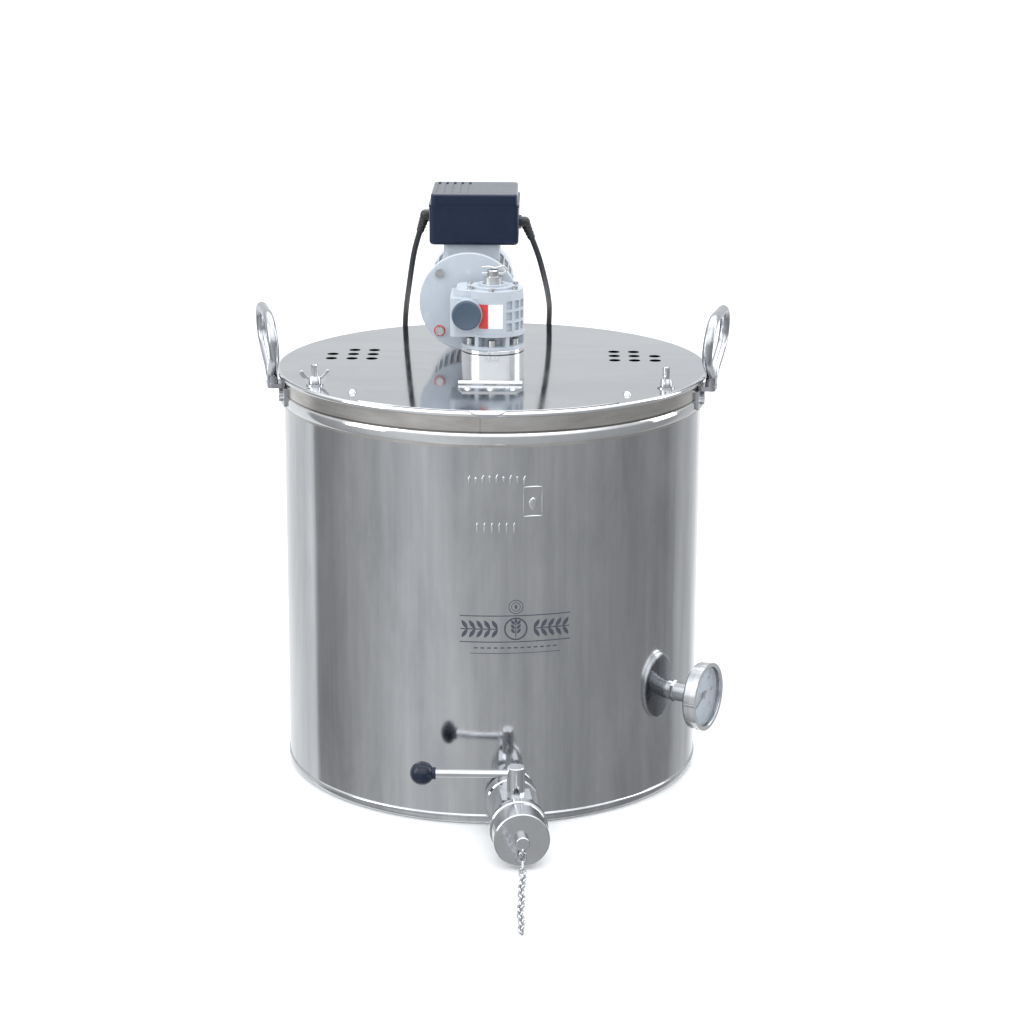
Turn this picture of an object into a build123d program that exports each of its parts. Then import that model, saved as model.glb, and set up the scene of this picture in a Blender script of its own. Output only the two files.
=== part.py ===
"""Hundred-litre stainless brew kettle with a lid-mounted worm gearmotor and stirrer.

Frame: origin on the floor at the centre of the pot, +Z up, -Y to the front.
All sizes are in millimetres. An azimuth is counted from the front, towards +X.
"""
import math
import os

from build123d import *

os.makedirs("parts", exist_ok=True)

# --- driving dimensions -------------------------------------------------------
POT_R = 250.0            # outside of the wall
WALL = 1.5
POT_TOP = 486.0
CORNER_R = 7.0
RIM_TOP = 490.0
BAND_R = 251.8
BEAD_LOW, BEAD_HIGH, BEAD_R = 452.0, 466.0, 252.9

LID_LOW, LID_TOP = 490.1, 491.5
LID_BEAD_R, LID_BEAD_MID = 3.0, 255.5
SHAFT_HOLE_R = 16.0
VENT_R = 7.0
VENT_X, VENT_Y = (147.0, 171.0, 196.0), (26.5, 52.0, 76.5)
STUD_AT = ((-203.0, -123.0), (203.0, -123.0))
DOME_AT = ((-157.0, -162.0), (157.0, -162.0))
STUD_R = 4.0

HATCH_W, HATCH_T, HATCH_R = 294.0, 1.2, 254.0
HATCH_LOW = LID_TOP + 0.1
HATCH_TOP = HATCH_LOW + HATCH_T
HATCH_BACK = -130.0
OPENING_W, OPENING_BACK, OPENING_R = 260.0, -142.0, 238.0
TAB_W = 35.0
HINGE_W, HINGE_Y, HINGE_Z = 74.0, -126.0, 495.2
KNUCKLE_R, PIN_R, LEAF_T = 3.5, 1.7, 1.6

HANDLE_AZ = 77.0
HANDLE_ROOT_R, HANDLE_ROOT_Z, HANDLE_LEAN = 265.5, 481.0, 5.0
HANDLE_BAR = (6.0, 5.4)  # half thickness of the bar, across and along the loop's plane

SHAFT_R = 7.0
WORM_X, WORM_Z = -30.0, 558.5
COLLAR_R, COLLAR_TOP = 37.5, 515.0
HOUSING_LOW, HOUSING_HIGH, COVER_TOP = 531.0, 577.0, 590.0
FLANGE_R, FLANGE_Y, FLANGE_T = 60.0, 43.0, 8.0
FRAME_R, FRAME_Y0, FRAME_Y1 = 49.0, 59.0, 178.0
BOX_X, BOX_Y, BOX_Z = (-80.0, 30.0), (75.0, 190.0), (622.0, 684.0)
BOX_SEAM = 671.0
WIRE_WAY, WIRE_WAY_R = (-28.0, 130.0), 9.0  # hole for the wires between motor frame and terminal box

GAUGE_AZ, GAUGE_Z = 62.0, 120.0
CASE_S, CASE_T, CASE_R = 278.0, 15.0, 40.0
PROBE_S = 150.0
VALVE_AZ, VALVE_Z, STEM_S = 6.3, 35.0, 313.0
CAP_S0, CAP_S1, CAP_R = 353.0, 386.0, 31.3
LEVER_Z, LEVER_LEN, KNOB_R = 86.0, 106.0, 13.5

CORD_R, COIL_R = 3.5, 38.0
RIVET_X = (-26, 0, 26)
UP = (0, 0, 1)


# --- helpers ------------------------------------------------------------------
def radial_point(azimuth, distance, height):
    """A point at a distance from the pot's axis, on an azimuth."""
    a = math.radians(azimuth)
    return (distance * math.sin(a), -distance * math.cos(a), height)


def radial_plane(azimuth, distance, height):
    """A plane that faces away from the pot's axis; its local y is up."""
    a = math.radians(azimuth)
    out = (math.sin(a), -math.cos(a), 0)
    along = (math.cos(a), math.sin(a), 0)
    return Plane(origin=radial_point(azimuth, distance, height), x_dir=along, z_dir=out)


def turned(plane, degrees, about="z"):
    """The same plane turned about its own normal, or about its own x axis."""
    turn = (0, 0, degrees) if about == "z" else (degrees, 0, 0)
    return Plane(plane.location * Location((0, 0, 0), turn))


def upright_plane(azimuth):
    """The plane through the pot's axis on an azimuth: local x outwards, local y up."""
    a = math.radians(azimuth)
    out = (math.sin(a), -math.cos(a), 0)
    return Plane(origin=(0, 0, 0), x_dir=out, z_dir=(-math.cos(a), -math.sin(a), 0))


def save(builder, name):
    """Labels a finished piece and writes its STEP file."""
    builder.part.label = name
    export_step(builder.part, f"parts/{name}.step")


def ring(plane, r_out, r_in, start, end, mode=Mode.ADD):
    """A plain ring between two distances along a plane's normal, in the open part."""
    with BuildSketch(plane.offset(start)) as face:
        Circle(r_out)
        if r_in > 0:
            Circle(r_in, mode=Mode.SUBTRACT)
    extrude(face.sketch, amount=end - start, mode=mode)


# --- pot ----------------------------------------------------------------------
VALVE_WALL = radial_plane(VALVE_AZ, 0, VALVE_Z)
GAUGE_WALL = radial_plane(GAUGE_AZ, 0, GAUGE_Z)
BOLT_Z = (461.0, 470.0)

with BuildPart() as pot_shell:
    Cylinder(POT_R, POT_TOP, align=(Align.CENTER, Align.CENTER, Align.MIN))
    fillet(pot_shell.edges().sort_by(Axis.Z)[0], CORNER_R)
    offset(amount=-WALL, openings=pot_shell.faces().sort_by(Axis.Z)[-1])
    ring(VALVE_WALL, 14.0, 0, 230, 262, Mode.SUBTRACT)
    ring(GAUGE_WALL, SHAFT_R, 0, 230, 262, Mode.SUBTRACT)
    for side in (-1, 1):
        for z in BOLT_Z:
            ring(radial_plane(side * HANDLE_AZ, 0, z), 2.5, 0, 230, 262, Mode.SUBTRACT)
save(pot_shell, "pot_shell")

with BuildPart() as rim_band:
    with BuildSketch(Plane.XZ):
        with BuildLine():
            Polyline((POT_R, POT_TOP), (POT_R, BEAD_LOW - 2))
            ThreePointArc((POT_R, BEAD_LOW - 2), (BEAD_R, (BEAD_LOW + BEAD_HIGH) / 2), (BAND_R - 0.6, BEAD_HIGH))
            Polyline((BAND_R - 0.6, BEAD_HIGH), (BAND_R, BEAD_HIGH + 1.0), (BAND_R, RIM_TOP - 1.5))
            Polyline((BAND_R, RIM_TOP - 1.5), (BAND_R - 1.0, RIM_TOP), (POT_R - WALL, RIM_TOP))
            Polyline((POT_R - WALL, RIM_TOP), (POT_R - WALL, POT_TOP), (POT_R, POT_TOP))
        make_face()
    revolve(axis=Axis.Z)
    for side in (-1, 1):
        seat = radial_plane(side * HANDLE_AZ, 0, 0)
        with BuildSketch(seat.offset(240)):
            with Locations((0, 466.5)):
                Rectangle(46.4, 25.4)
        extrude(amount=30, mode=Mode.SUBTRACT)
    with BuildSketch(Plane.XY.offset(BEAD_LOW - 2)):
        Circle(BAND_R)
        Circle(POT_R, mode=Mode.SUBTRACT)
    extrude(amount=POT_TOP - BEAD_LOW + 2)
    for side in (-1, 1):
        for z in BOLT_Z:
            ring(radial_plane(side * HANDLE_AZ, 0, z), 2.5, 0, 230, 262, Mode.SUBTRACT)
save(rim_band, "rim_band")


def handle_plane(side):
    """The leaning plane of a handle's loop: local y runs up the loop, local z away from the pot."""
    a = math.radians(side * HANDLE_AZ)
    lean = math.radians(HANDLE_LEAN)
    out = Vector(math.sin(a), -math.cos(a), 0)
    up = out * math.sin(lean) + Vector(0, 0, math.cos(lean))
    tangent = Vector(math.cos(a), math.sin(a), 0)
    root = Vector(*radial_point(side * HANDLE_AZ, HANDLE_ROOT_R, HANDLE_ROOT_Z))
    return Plane(origin=root, x_dir=tangent, z_dir=tangent.cross(up))


def make_handle(side):
    """A pear-shaped loop of bar on a foot, welded to a curved plate on the rim band."""
    plane = handle_plane(side)
    seat = radial_plane(side * HANDLE_AZ, 0, 0)
    with BuildPart() as handle:
        with BuildLine(plane) as path:
            FilletPolyline((5.6, 0), (7.5, 13), (63, 45), (48, 86), (-48, 86), (-63, 45), (-7.5, 13), (-5.6, 0),
                           radius=[14, 24, 34, 34, 24, 14])
        with BuildSketch(Plane(origin=path.wires()[0] @ 0, x_dir=plane.x_dir, z_dir=plane.y_dir)):
            Ellipse(HANDLE_BAR[1], HANDLE_BAR[0])
        sweep(path=path.wires()[0])
        with BuildSketch(Plane(origin=plane.origin, x_dir=plane.x_dir, z_dir=plane.y_dir)):
            RectangleRounded(24, 11.6, 5.4)
        extrude(amount=9)
        with BuildSketch(seat.offset(BAND_R - 4)):
            with Locations((0, 466.5)):
                RectangleRounded(46, 25, 4)
        extrude(amount=7.2)
        with BuildSketch(Plane.XY.offset(475.5)):
            with Locations(Location(radial_point(side * HANDLE_AZ, 261.5, 0), side * HANDLE_AZ)):
                RectangleRounded(26, 21, 5)
        extrude(amount=HANDLE_ROOT_Z - 475.5)
        with BuildSketch(Plane.XY.offset(440)):
            Circle(BAND_R)
        extrude(amount=60, mode=Mode.SUBTRACT)
        for z in BOLT_Z:
            ring(radial_plane(side * HANDLE_AZ, 0, z), 2.5, 0, 230, 262, Mode.SUBTRACT)
    return handle


save(make_handle(-1), "handle_left")
save(make_handle(1), "handle_right")

with BuildPart() as handle_bolts:
    for side in (-1, 1):
        for z in BOLT_Z:
            bolt = radial_plane(side * HANDLE_AZ, 0, z)
            ring(bolt, 2.45, 0, 239, 256)
            with BuildSketch(bolt.offset(BAND_R + 3.3)):
                RegularPolygon(4.1, 6)
            extrude(amount=3.2)
            with BuildSketch(radial_plane(side * HANDLE_AZ, 243.6, z)):
                RegularPolygon(4.3, 6)
                Circle(2.45, mode=Mode.SUBTRACT)
            extrude(amount=4.7)
save(handle_bolts, "handle_bolts")

with BuildPart() as lid_studs:
    for x, y in STUD_AT:
        azimuth = math.degrees(math.atan2(x, -y))
        seat = upright_plane(azimuth)
        with BuildSketch(seat.offset(-12)):
            with BuildLine():
                Polyline((228, 478), (247.9, 478), (247.9, 455), (245.4, 455), (245.4, 475), (228, 475), (228, 478))
            make_face()
        extrude(amount=24)
    with Locations(*[(x, y, 478) for x, y in STUD_AT]):
        Cylinder(STUD_R, 38, align=(Align.CENTER, Align.CENTER, Align.MIN))
    chamfer(lid_studs.edges().group_by(Axis.Z)[-1], 0.8)
save(lid_studs, "lid_studs")

with BuildPart() as bottom_bush:
    ring(Plane.XY, 14.0, SHAFT_R + 0.08, WALL, 20.0)
    with BuildSketch(Plane.XY.offset(WALL)):
        Circle(24)
        Circle(13.9, mode=Mode.SUBTRACT)
    extrude(amount=3)
save(bottom_bush, "bottom_bush")

# --- lid ----------------------------------------------------------------------
VENTS = [(sx * x, y) for sx in (-1, 1) for x in VENT_X for y in VENT_Y if not (x == VENT_X[2] and y == VENT_Y[2])]


def front_panel(sketch, width, back, radius, corner):
    """A flat outline: straight back and sides, round front edge, in the open sketch."""
    Circle(radius)
    with Locations((0, back)):
        Rectangle(width, 2 * radius, align=(Align.CENTER, Align.MAX), mode=Mode.INTERSECT)
    fillet(sketch.vertices().group_by(Axis.Y)[-1], corner)


with BuildPart() as lid_plate:
    with BuildSketch(Plane.XZ):
        with Locations((LID_BEAD_MID / 2, (LID_LOW + LID_TOP) / 2)):
            Rectangle(LID_BEAD_MID, LID_TOP - LID_LOW)
        with Locations((LID_BEAD_MID, LID_TOP - LID_BEAD_R)):
            Circle(LID_BEAD_R)
    revolve(axis=Axis.Z)
    with BuildSketch(Plane.XY.offset(LID_LOW - 1)) as cuts:
        Circle(SHAFT_HOLE_R)
        with Locations(*VENTS):
            Circle(VENT_R)
        with Locations(*STUD_AT):
            Circle(STUD_R + 0.6)
        with Locations(*DOME_AT):
            Circle(2.0)
        with PolarLocations(29, 4, start_angle=45):
            Circle(3.0)
    extrude(amount=5, mode=Mode.SUBTRACT)
    with BuildSketch(Plane.XY.offset(LID_LOW - 1)) as opening:
        front_panel(opening, OPENING_W, OPENING_BACK, OPENING_R, 14)
    extrude(amount=5, mode=Mode.SUBTRACT)
    with BuildSketch(Plane.XY.offset(LID_LOW - 1)):
        with GridLocations(26, 1, 3, 1):
            with Locations((0, -110)):
                Circle(2.0)
    extrude(amount=5, mode=Mode.SUBTRACT)
save(lid_plate, "lid_plate")

with BuildPart() as hatch:
    with BuildSketch(Plane.XY.offset(HATCH_LOW)) as door:
        front_panel(door, HATCH_W, HATCH_BACK, HATCH_R, 17)
    extrude(amount=HATCH_T)
    with BuildSketch(Plane.YZ.offset(-TAB_W / 2)):
        with BuildLine():
            inner, outer = LID_BEAD_R + 0.6, LID_BEAD_R + 0.6 + HATCH_T
            middle = (-LID_BEAD_MID, HATCH_LOW - inner)
            Polyline((-252, HATCH_LOW), (middle[0], HATCH_LOW))
            CenterArc(middle, inner, 90, 80)
            low = (middle[0] - inner * math.cos(math.radians(10)), middle[1] + inner * math.sin(math.radians(10)))
            high = (middle[0] - outer * math.cos(math.radians(10)), middle[1] + outer * math.sin(math.radians(10)))
            Polyline(low, (low[0] - 0.8, low[1] - 4.5), (high[0] - 0.8, high[1] - 4.5), high)
            CenterArc(middle, outer, 90, 80)
            Polyline((middle[0], HATCH_TOP), (-252, HATCH_TOP), (-252, HATCH_LOW))
        make_face()
    extrude(amount=TAB_W)
    with BuildSketch(Plane.XY.offset(HATCH_LOW - 1)):
        with GridLocations(26, 1, 3, 1):
            with Locations((0, -151)):
                Circle(2.0)
    extrude(amount=5, mode=Mode.SUBTRACT)
save(hatch, "hatch")

KNUCKLE = HINGE_W / 5


def knuckles(which, bore):
    """Hinge barrel segments of one leaf, in the open part."""
    for index in which:
        start = -HINGE_W / 2 + index * KNUCKLE
        barrel = Plane(origin=(0, HINGE_Y, HINGE_Z), x_dir=(0, 1, 0), z_dir=(1, 0, 0))
        ring(barrel, KNUCKLE_R, bore, start + 0.15, start + KNUCKLE - 0.15)


def leaf_roots(which, low, y0, y1):
    """Short strips that join a leaf to its own barrel segments."""
    for index in which:
        with BuildSketch(Plane.XY.offset(low)) as strip:
            with Locations((-HINGE_W / 2 + (index + 0.5) * KNUCKLE, (y0 + y1) / 2)):
                Rectangle(KNUCKLE - 0.3, abs(y1 - y0))
        extrude(strip.sketch, amount=LEAF_T)


with BuildPart() as hinge_rear_leaf:
    with BuildSketch(Plane.XY.offset(LID_TOP)):
        with Locations((0, -108.5)):
            RectangleRounded(HINGE_W, 27, 2)
        with GridLocations(26, 1, 3, 1):
            with Locations((0, -110)):
                Circle(2.0, mode=Mode.SUBTRACT)
    extrude(amount=LEAF_T)
    leaf_roots((0, 2, 4), LID_TOP, -123.5, -120)
    with BuildSketch(Plane(origin=(0, HINGE_Y, HINGE_Z), x_dir=(0, 1, 0), z_dir=(1, 0, 0))):
        Circle(PIN_R)
    extrude(amount=HINGE_W / 2, both=True, mode=Mode.SUBTRACT)
    knuckles((0, 2, 4), PIN_R)
save(hinge_rear_leaf, "hinge_rear_leaf")

with BuildPart() as hinge_front_leaf:
    with BuildSketch(Plane.XY.offset(HATCH_TOP)):
        with BuildLine():
            half = HINGE_W / 2
            Polyline((-half, -130.4), (half, -130.4), (half, -142), (half - 6, -165), (6 - half, -165),
                     (-half, -142), (-half, -130.4))
        make_face()
        with GridLocations(26, 1, 3, 1):
            with Locations((0, -151)):
                Circle(2.0, mode=Mode.SUBTRACT)
    extrude(amount=LEAF_T)
    leaf_roots((1, 3), HATCH_TOP, -131, -128.4)
    knuckles((1, 3), PIN_R + 0.06)
save(hinge_front_leaf, "hinge_front_leaf")

with BuildPart() as hinge_pin:
    with BuildSketch(Plane(origin=(-HINGE_W / 2, HINGE_Y, HINGE_Z), x_dir=(0, 1, 0), z_dir=(1, 0, 0))):
        Circle(PIN_R)
    extrude(amount=HINGE_W)
save(hinge_pin, "hinge_pin")


def domed_rivet(x, y, seat, low, head_r, head_h):
    """A domed head, a shank and a closed tail, through the sheets between seat and low, in the open part."""
    with BuildSketch(Plane(origin=(x, y, 0), x_dir=(1, 0, 0), z_dir=(0, -1, 0))) as half:
        with BuildLine():
            ThreePointArc((0, seat + head_h), (0.7 * head_r, seat + 0.68 * head_h), (head_r, seat))
            Polyline((head_r, seat), (1.95, seat), (1.95, low), (3.2, low), (2.6, low - 1.2), (0, low - 1.2))
            Line((0, low - 1.2), (0, seat + head_h))
        make_face()
    revolve(half.sketch, axis=Axis((x, y, 0), UP))


with BuildPart() as lid_fasteners:
    for x in RIVET_X:
        domed_rivet(x, -110, LID_TOP + LEAF_T, LID_LOW, 3.8, 2.0)
    for x, y in DOME_AT:
        domed_rivet(x, y, LID_TOP, LID_LOW, 5.2, 4.2)
    for x, y in STUD_AT:
        ring(Plane.XY.move(Location((x, y, 0))), 10.0, STUD_R + 0.4, LID_TOP, LID_TOP + 1.5)
save(lid_fasteners, "lid_rivets_and_washers")

with BuildPart() as hatch_rivets:
    for x in RIVET_X:
        domed_rivet(x, -151, HATCH_TOP + LEAF_T, HATCH_LOW, 3.8, 2.0)
save(hatch_rivets, "hatch_rivets")


def make_wing_nut(x, y, turn):
    """A wing nut: round hub with a bore and two upswept wings."""
    base = LID_TOP + 1.6
    with BuildPart() as nut:
        with BuildSketch(Plane(origin=(x, y, base), x_dir=(math.cos(turn), math.sin(turn), 0), z_dir=UP)):
            Circle(7.5)
        extrude(amount=9, taper=6)
        wing = Plane(origin=(x, y, base), x_dir=(math.cos(turn), math.sin(turn), 0),
                     z_dir=(math.sin(turn), -math.cos(turn), 0))
        with BuildSketch(wing.offset(-1.8)):
            for side in (-1, 1):
                with BuildLine():
                    Polyline((side * 3, 1.2), (side * 9, 2.2), (side * 16.5, 10))
                    ThreePointArc((side * 16.5, 10), (side * 17.6, 16.4), (side * 12.2, 15.2))
                    Polyline((side * 12.2, 15.2), (side * 5, 8.4), (side * 3, 8.4), (side * 3, 1.2))
                make_face()
        extrude(amount=3.6)
        ring(Plane(origin=(x, y, base)), STUD_R + 0.08, 0, -1, 20, Mode.SUBTRACT)
    return nut


save(make_wing_nut(*STUD_AT[0], math.radians(12)), "wing_nut_left")
save(make_wing_nut(*STUD_AT[1], math.radians(82)), "wing_nut_right")

# --- gearbox ------------------------------------------------------------------
BOLT_RING = [radial_point(a, 30.5, 0)[:2] for a in range(0, 360, 60)]
WORM_AXIS = Plane(origin=(WORM_X, 0, WORM_Z), x_dir=(1, 0, 0), z_dir=(0, 1, 0))

with BuildPart() as adapter_collar:
    ring(Plane.XY, COLLAR_R, SHAFT_HOLE_R, LID_TOP, COLLAR_TOP)
    with BuildSketch(Plane.XY.offset(LID_TOP)):
        with PolarLocations(29, 4, start_angle=45):
            Circle(3.0)
    extrude(amount=12, mode=Mode.SUBTRACT)
    with BuildSketch(Plane.XY.offset(COLLAR_TOP - 12)):
        with Locations(*BOLT_RING):
            Circle(2.5)
    extrude(amount=12, mode=Mode.SUBTRACT)
    chamfer(adapter_collar.edges().group_by(Axis.Z)[-1].sort_by(SortBy.LENGTH)[-1], 1.0)
save(adapter_collar, "adapter_collar")

with BuildPart() as gearbox_bolts:
    with Locations(*[(*p, LID_TOP + 10) for p in [(29 * math.cos(math.radians(a)), 29 * math.sin(math.radians(a)))
                                                  for a in (45, 135, 225, 315)]]):
        Cylinder(2.95, 10 + LID_TOP - LID_LOW, align=(Align.CENTER, Align.CENTER, Align.MAX))
    with BuildSketch(Plane.XY.offset(LID_LOW - 4)):
        with PolarLocations(29, 4, start_angle=45):
            RegularPolygon(5, 6)
    extrude(amount=4)
    with Locations(*[(*p, COLLAR_TOP + 4) for p in BOLT_RING]):
        Cylinder(2.5, 14, align=(Align.CENTER, Align.CENTER, Align.MAX))
        Cylinder(4.8, 7.5, align=(Align.CENTER, Align.CENTER, Align.MIN))
    with BuildSketch(Plane.XY.offset(COLLAR_TOP + 8)):
        with Locations(*BOLT_RING):
            RegularPolygon(2.6, 6)
    extrude(amount=4, mode=Mode.SUBTRACT)
    with BuildSketch(Plane.XY.offset(HOUSING_HIGH - 9)):
        with PolarLocations(31, 6, start_angle=30):
            Circle(1.95)
    extrude(amount=17)
    with BuildSketch(Plane.XY.offset(HOUSING_HIGH + 8)):
        with PolarLocations(31, 6, start_angle=30):
            Circle(3.6)
    extrude(amount=3.6)
    with BuildSketch(WORM_AXIS.offset(FLANGE_Y)):
        with PolarLocations(50, 4, start_angle=45):
            Circle(3.25)
    extrude(amount=15)
    with BuildSketch(WORM_AXIS.offset(FLANGE_Y)):
        with PolarLocations(50, 4, start_angle=45):
            RegularPolygon(5.6, 6)
    extrude(amount=-4)
save(gearbox_bolts, "gearbox_bolts")

with BuildPart() as gearbox_housing:
    ring(Plane.XY, COLLAR_R, 18.0, COLLAR_TOP, COLLAR_TOP + 4)
    ring(Plane.XY, 24.5, 18.0, COLLAR_TOP, HOUSING_LOW)
    with BuildSketch(Plane.XY.offset(COLLAR_TOP)):
        with PolarLocations(30.5, 6, start_angle=-60):
            Rectangle(13, 5)
    extrude(amount=HOUSING_LOW - COLLAR_TOP)
    ring(Plane.XY, 38.4, 18.0, HOUSING_LOW, HOUSING_LOW + 3)
    with BuildSketch(Plane.XY.offset(HOUSING_LOW)):
        Circle(37.2)
        with Locations((-24, 3)):
            RectangleRounded(52, 72, 7)
    extrude(amount=HOUSING_HIGH - HOUSING_LOW)
    ring(WORM_AXIS, 18.4, 0, -41, FLANGE_Y)
    for row in range(3):
        with BuildSketch(Plane.XY.offset(537.5 + row * 13.2)):
            Circle(38)
            Circle(34.2, mode=Mode.SUBTRACT)
            with PolarLocations(36, 7, start_angle=-48, angular_range=132):
                Rectangle(12, 3.2, mode=Mode.SUBTRACT)
            with Locations((-18, 0)):
                Rectangle(70, 90, mode=Mode.SUBTRACT)
        extrude(amount=9.6, mode=Mode.SUBTRACT)
    ring(Plane.XY, 26.0, 0, 543, HOUSING_HIGH, Mode.SUBTRACT)
    ring(Plane.XY, 17.5, 0, HOUSING_LOW + 2, 543, Mode.SUBTRACT)
    ring(Plane.XY, 12.0, 0, COLLAR_TOP, HOUSING_LOW + 3, Mode.SUBTRACT)
    ring(WORM_AXIS, 12.5, 0, -41, FLANGE_Y, Mode.SUBTRACT)
    with BuildSketch(Plane.XY.offset(COLLAR_TOP - 1)):
        with Locations(*BOLT_RING):
            Circle(2.6)
    extrude(amount=HOUSING_LOW - COLLAR_TOP - 6, mode=Mode.SUBTRACT)
    with BuildSketch(Plane.XY.offset(COLLAR_TOP + 4)):
        with Locations(*BOLT_RING):
            Circle(5.3)
    extrude(amount=HOUSING_LOW - COLLAR_TOP - 4, mode=Mode.SUBTRACT)
    with BuildSketch(Plane.XY.offset(HOUSING_HIGH - 10)):
        with PolarLocations(31, 6, start_angle=30):
            Circle(2.0)
    extrude(amount=10, mode=Mode.SUBTRACT)
save(gearbox_housing, "gearbox_housing")

with BuildPart() as gearbox_cover:
    with BuildSketch(Plane.XY.offset(HOUSING_HIGH)):
        Circle(36.5)
        with Locations((-20, 3)):
            RectangleRounded(46, 58, 12)
    extrude(amount=8)
    ring(Plane.XY, 26.0, 0, HOUSING_HIGH + 8, HOUSING_HIGH + 10.5)
    ring(Plane.XY, 17.5, 0, HOUSING_HIGH + 10.5, COVER_TOP)
    ring(Plane.XY, 17.5, 0, HOUSING_HIGH, HOUSING_HIGH + 8.2, Mode.SUBTRACT)
    ring(Plane.XY, 12.0, 0, HOUSING_HIGH, COVER_TOP, Mode.SUBTRACT)
    with BuildSketch(Plane.XY.offset(HOUSING_HIGH - 1)):
        with PolarLocations(31, 6, start_angle=30):
            Circle(2.0)
    extrude(amount=12, mode=Mode.SUBTRACT)
save(gearbox_cover, "gearbox_cover")

with BuildPart() as ball_bearings:
    ring(Plane.XY, 17.5, 11.05, HOUSING_LOW + 4, 543)
    ring(Plane.XY, 17.5, 11.05, HOUSING_HIGH + 0.2, HOUSING_HIGH + 8.2)
    ring(WORM_AXIS, 12.5, 5.05, -36.5, -29.5)
    ring(WORM_AXIS, 12.5, 7.05, 29.5, 37.5)
    ring(WORM_AXIS, 14.0, 7.05, FLANGE_Y + FLANGE_T + 1, FRAME_Y0)
    ring(WORM_AXIS, 12.0, 6.05, FRAME_Y1 - 3, FRAME_Y1 + 6)
save(ball_bearings, "ball_bearings")

with BuildPart() as shaft_seals:
    ring(Plane.XY, 12.0, SHAFT_R + 0.3, COLLAR_TOP + 5, COLLAR_TOP + 11)
    ring(Plane.XY, 12.0, 11.06, HOUSING_HIGH + 8.2, COVER_TOP)
save(shaft_seals, "shaft_seals")

with BuildPart() as worm_end_cap:
    ring(WORM_AXIS, 17.2, 0, -45, -41)
    ring(WORM_AXIS, 12.5, 0, -41, -37.5)
    ring(WORM_AXIS, 14.8, 14.4, -45, -44.2, Mode.SUBTRACT)
    ring(WORM_AXIS, 14.4, 0, -45.6, -44.8)
save(worm_end_cap, "worm_end_cap")

# --- wheel, shaft and stirrer -------------------------------------------------
WHEEL_TEETH, WHEEL_TIP, WORM_TIP = 30, 21.2, 8.4
ARM_AZ = GAUGE_AZ - 90

with BuildPart() as worm_wheel:
    with BuildSketch(Plane.XY.offset(WORM_Z - 7)):
        Circle(WHEEL_TIP)
        with PolarLocations(WHEEL_TIP, WHEEL_TEETH):
            Rectangle(4.6, 2.1, mode=Mode.SUBTRACT)
    extrude(amount=14)
    ring(Plane.XY, 11.0, 0, HOUSING_LOW + 4, 598)
    ring(Plane.XY, 14.0, 0, 543.5, HOUSING_HIGH - 0.3)
    ring(Plane.XY, SHAFT_R, 0, HOUSING_LOW, 600, Mode.SUBTRACT)
save(worm_wheel, "worm_wheel")

with BuildPart() as stirrer_shaft:
    ring(Plane.XY, SHAFT_R, 0, 6, 606)
    chamfer(stirrer_shaft.edges().group_by(Axis.Z)[-1], 1.0)
    with BuildSketch(Plane.YZ.offset(-10)):
        with Locations((0, 601.5)):
            Circle(1.4)
    extrude(amount=20, mode=Mode.SUBTRACT)
save(stirrer_shaft, "stirrer_shaft")

with BuildPart() as hairpin_clip:
    with BuildLine() as wire:
        FilletPolyline((-13, 0, 601.5), (13, 0, 601.5), (17, 0, 606), (13, 0, 610.5), (2, 0, 607.8),
                       (-4, 0, 609.4), (-13, 0, 608.6), radius=1.7)
    with BuildSketch(Plane(origin=wire.wires()[0] @ 0, z_dir=(1, 0, 0))):
        Circle(1.2)
    sweep()
save(hairpin_clip, "hairpin_clip")


def paddle(height, reach, depth, tilt):
    """Two flat blades on one hub, tilted like a propeller, in the open part."""
    ring(Plane.XY, 16.0, 0, height - 14, height + 14)
    for half_turn in (0, 180):
        along = radial_plane(ARM_AZ + half_turn, 10, height)
        with BuildSketch(turned(along, tilt)) as blade:
            RectangleRounded(depth, 3.0, 1.2)
        extrude(blade.sketch, amount=reach - 10)


with BuildPart() as paddles:
    paddle(44, 222, 42, 40)
    paddle(220, 150, 34, -40)
    ring(Plane.XY, SHAFT_R, 0, 20, 250, Mode.SUBTRACT)
save(paddles, "stirrer_paddles")

# --- motor --------------------------------------------------------------------
with BuildPart() as input_flange:
    ring(WORM_AXIS, FLANGE_R, 15.0, FLANGE_Y, FLANGE_Y + FLANGE_T)
    with BuildSketch(WORM_AXIS.offset(FLANGE_Y)):
        with PolarLocations(50, 4, start_angle=45):
            Circle(3.3)
    extrude(amount=FLANGE_T, mode=Mode.SUBTRACT)
    chamfer(input_flange.edges().group_by(Axis.Y)[0].sort_by(SortBy.LENGTH)[-1], 1.0)
save(input_flange, "input_flange")

with BuildPart() as front_shield:
    ring(WORM_AXIS, FLANGE_R - 1.5, 14.0, FLANGE_Y + FLANGE_T, FRAME_Y0)
    ring(WORM_AXIS, FRAME_R - 5.2, 14.0, FRAME_Y0, FRAME_Y0 + 4)
    with BuildSketch(WORM_AXIS.offset(FLANGE_Y + FLANGE_T)):
        with PolarLocations(50, 4, start_angle=45):
            Circle(3.3)
    extrude(amount=10, mode=Mode.SUBTRACT)
save(front_shield, "motor_front_shield")

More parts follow.
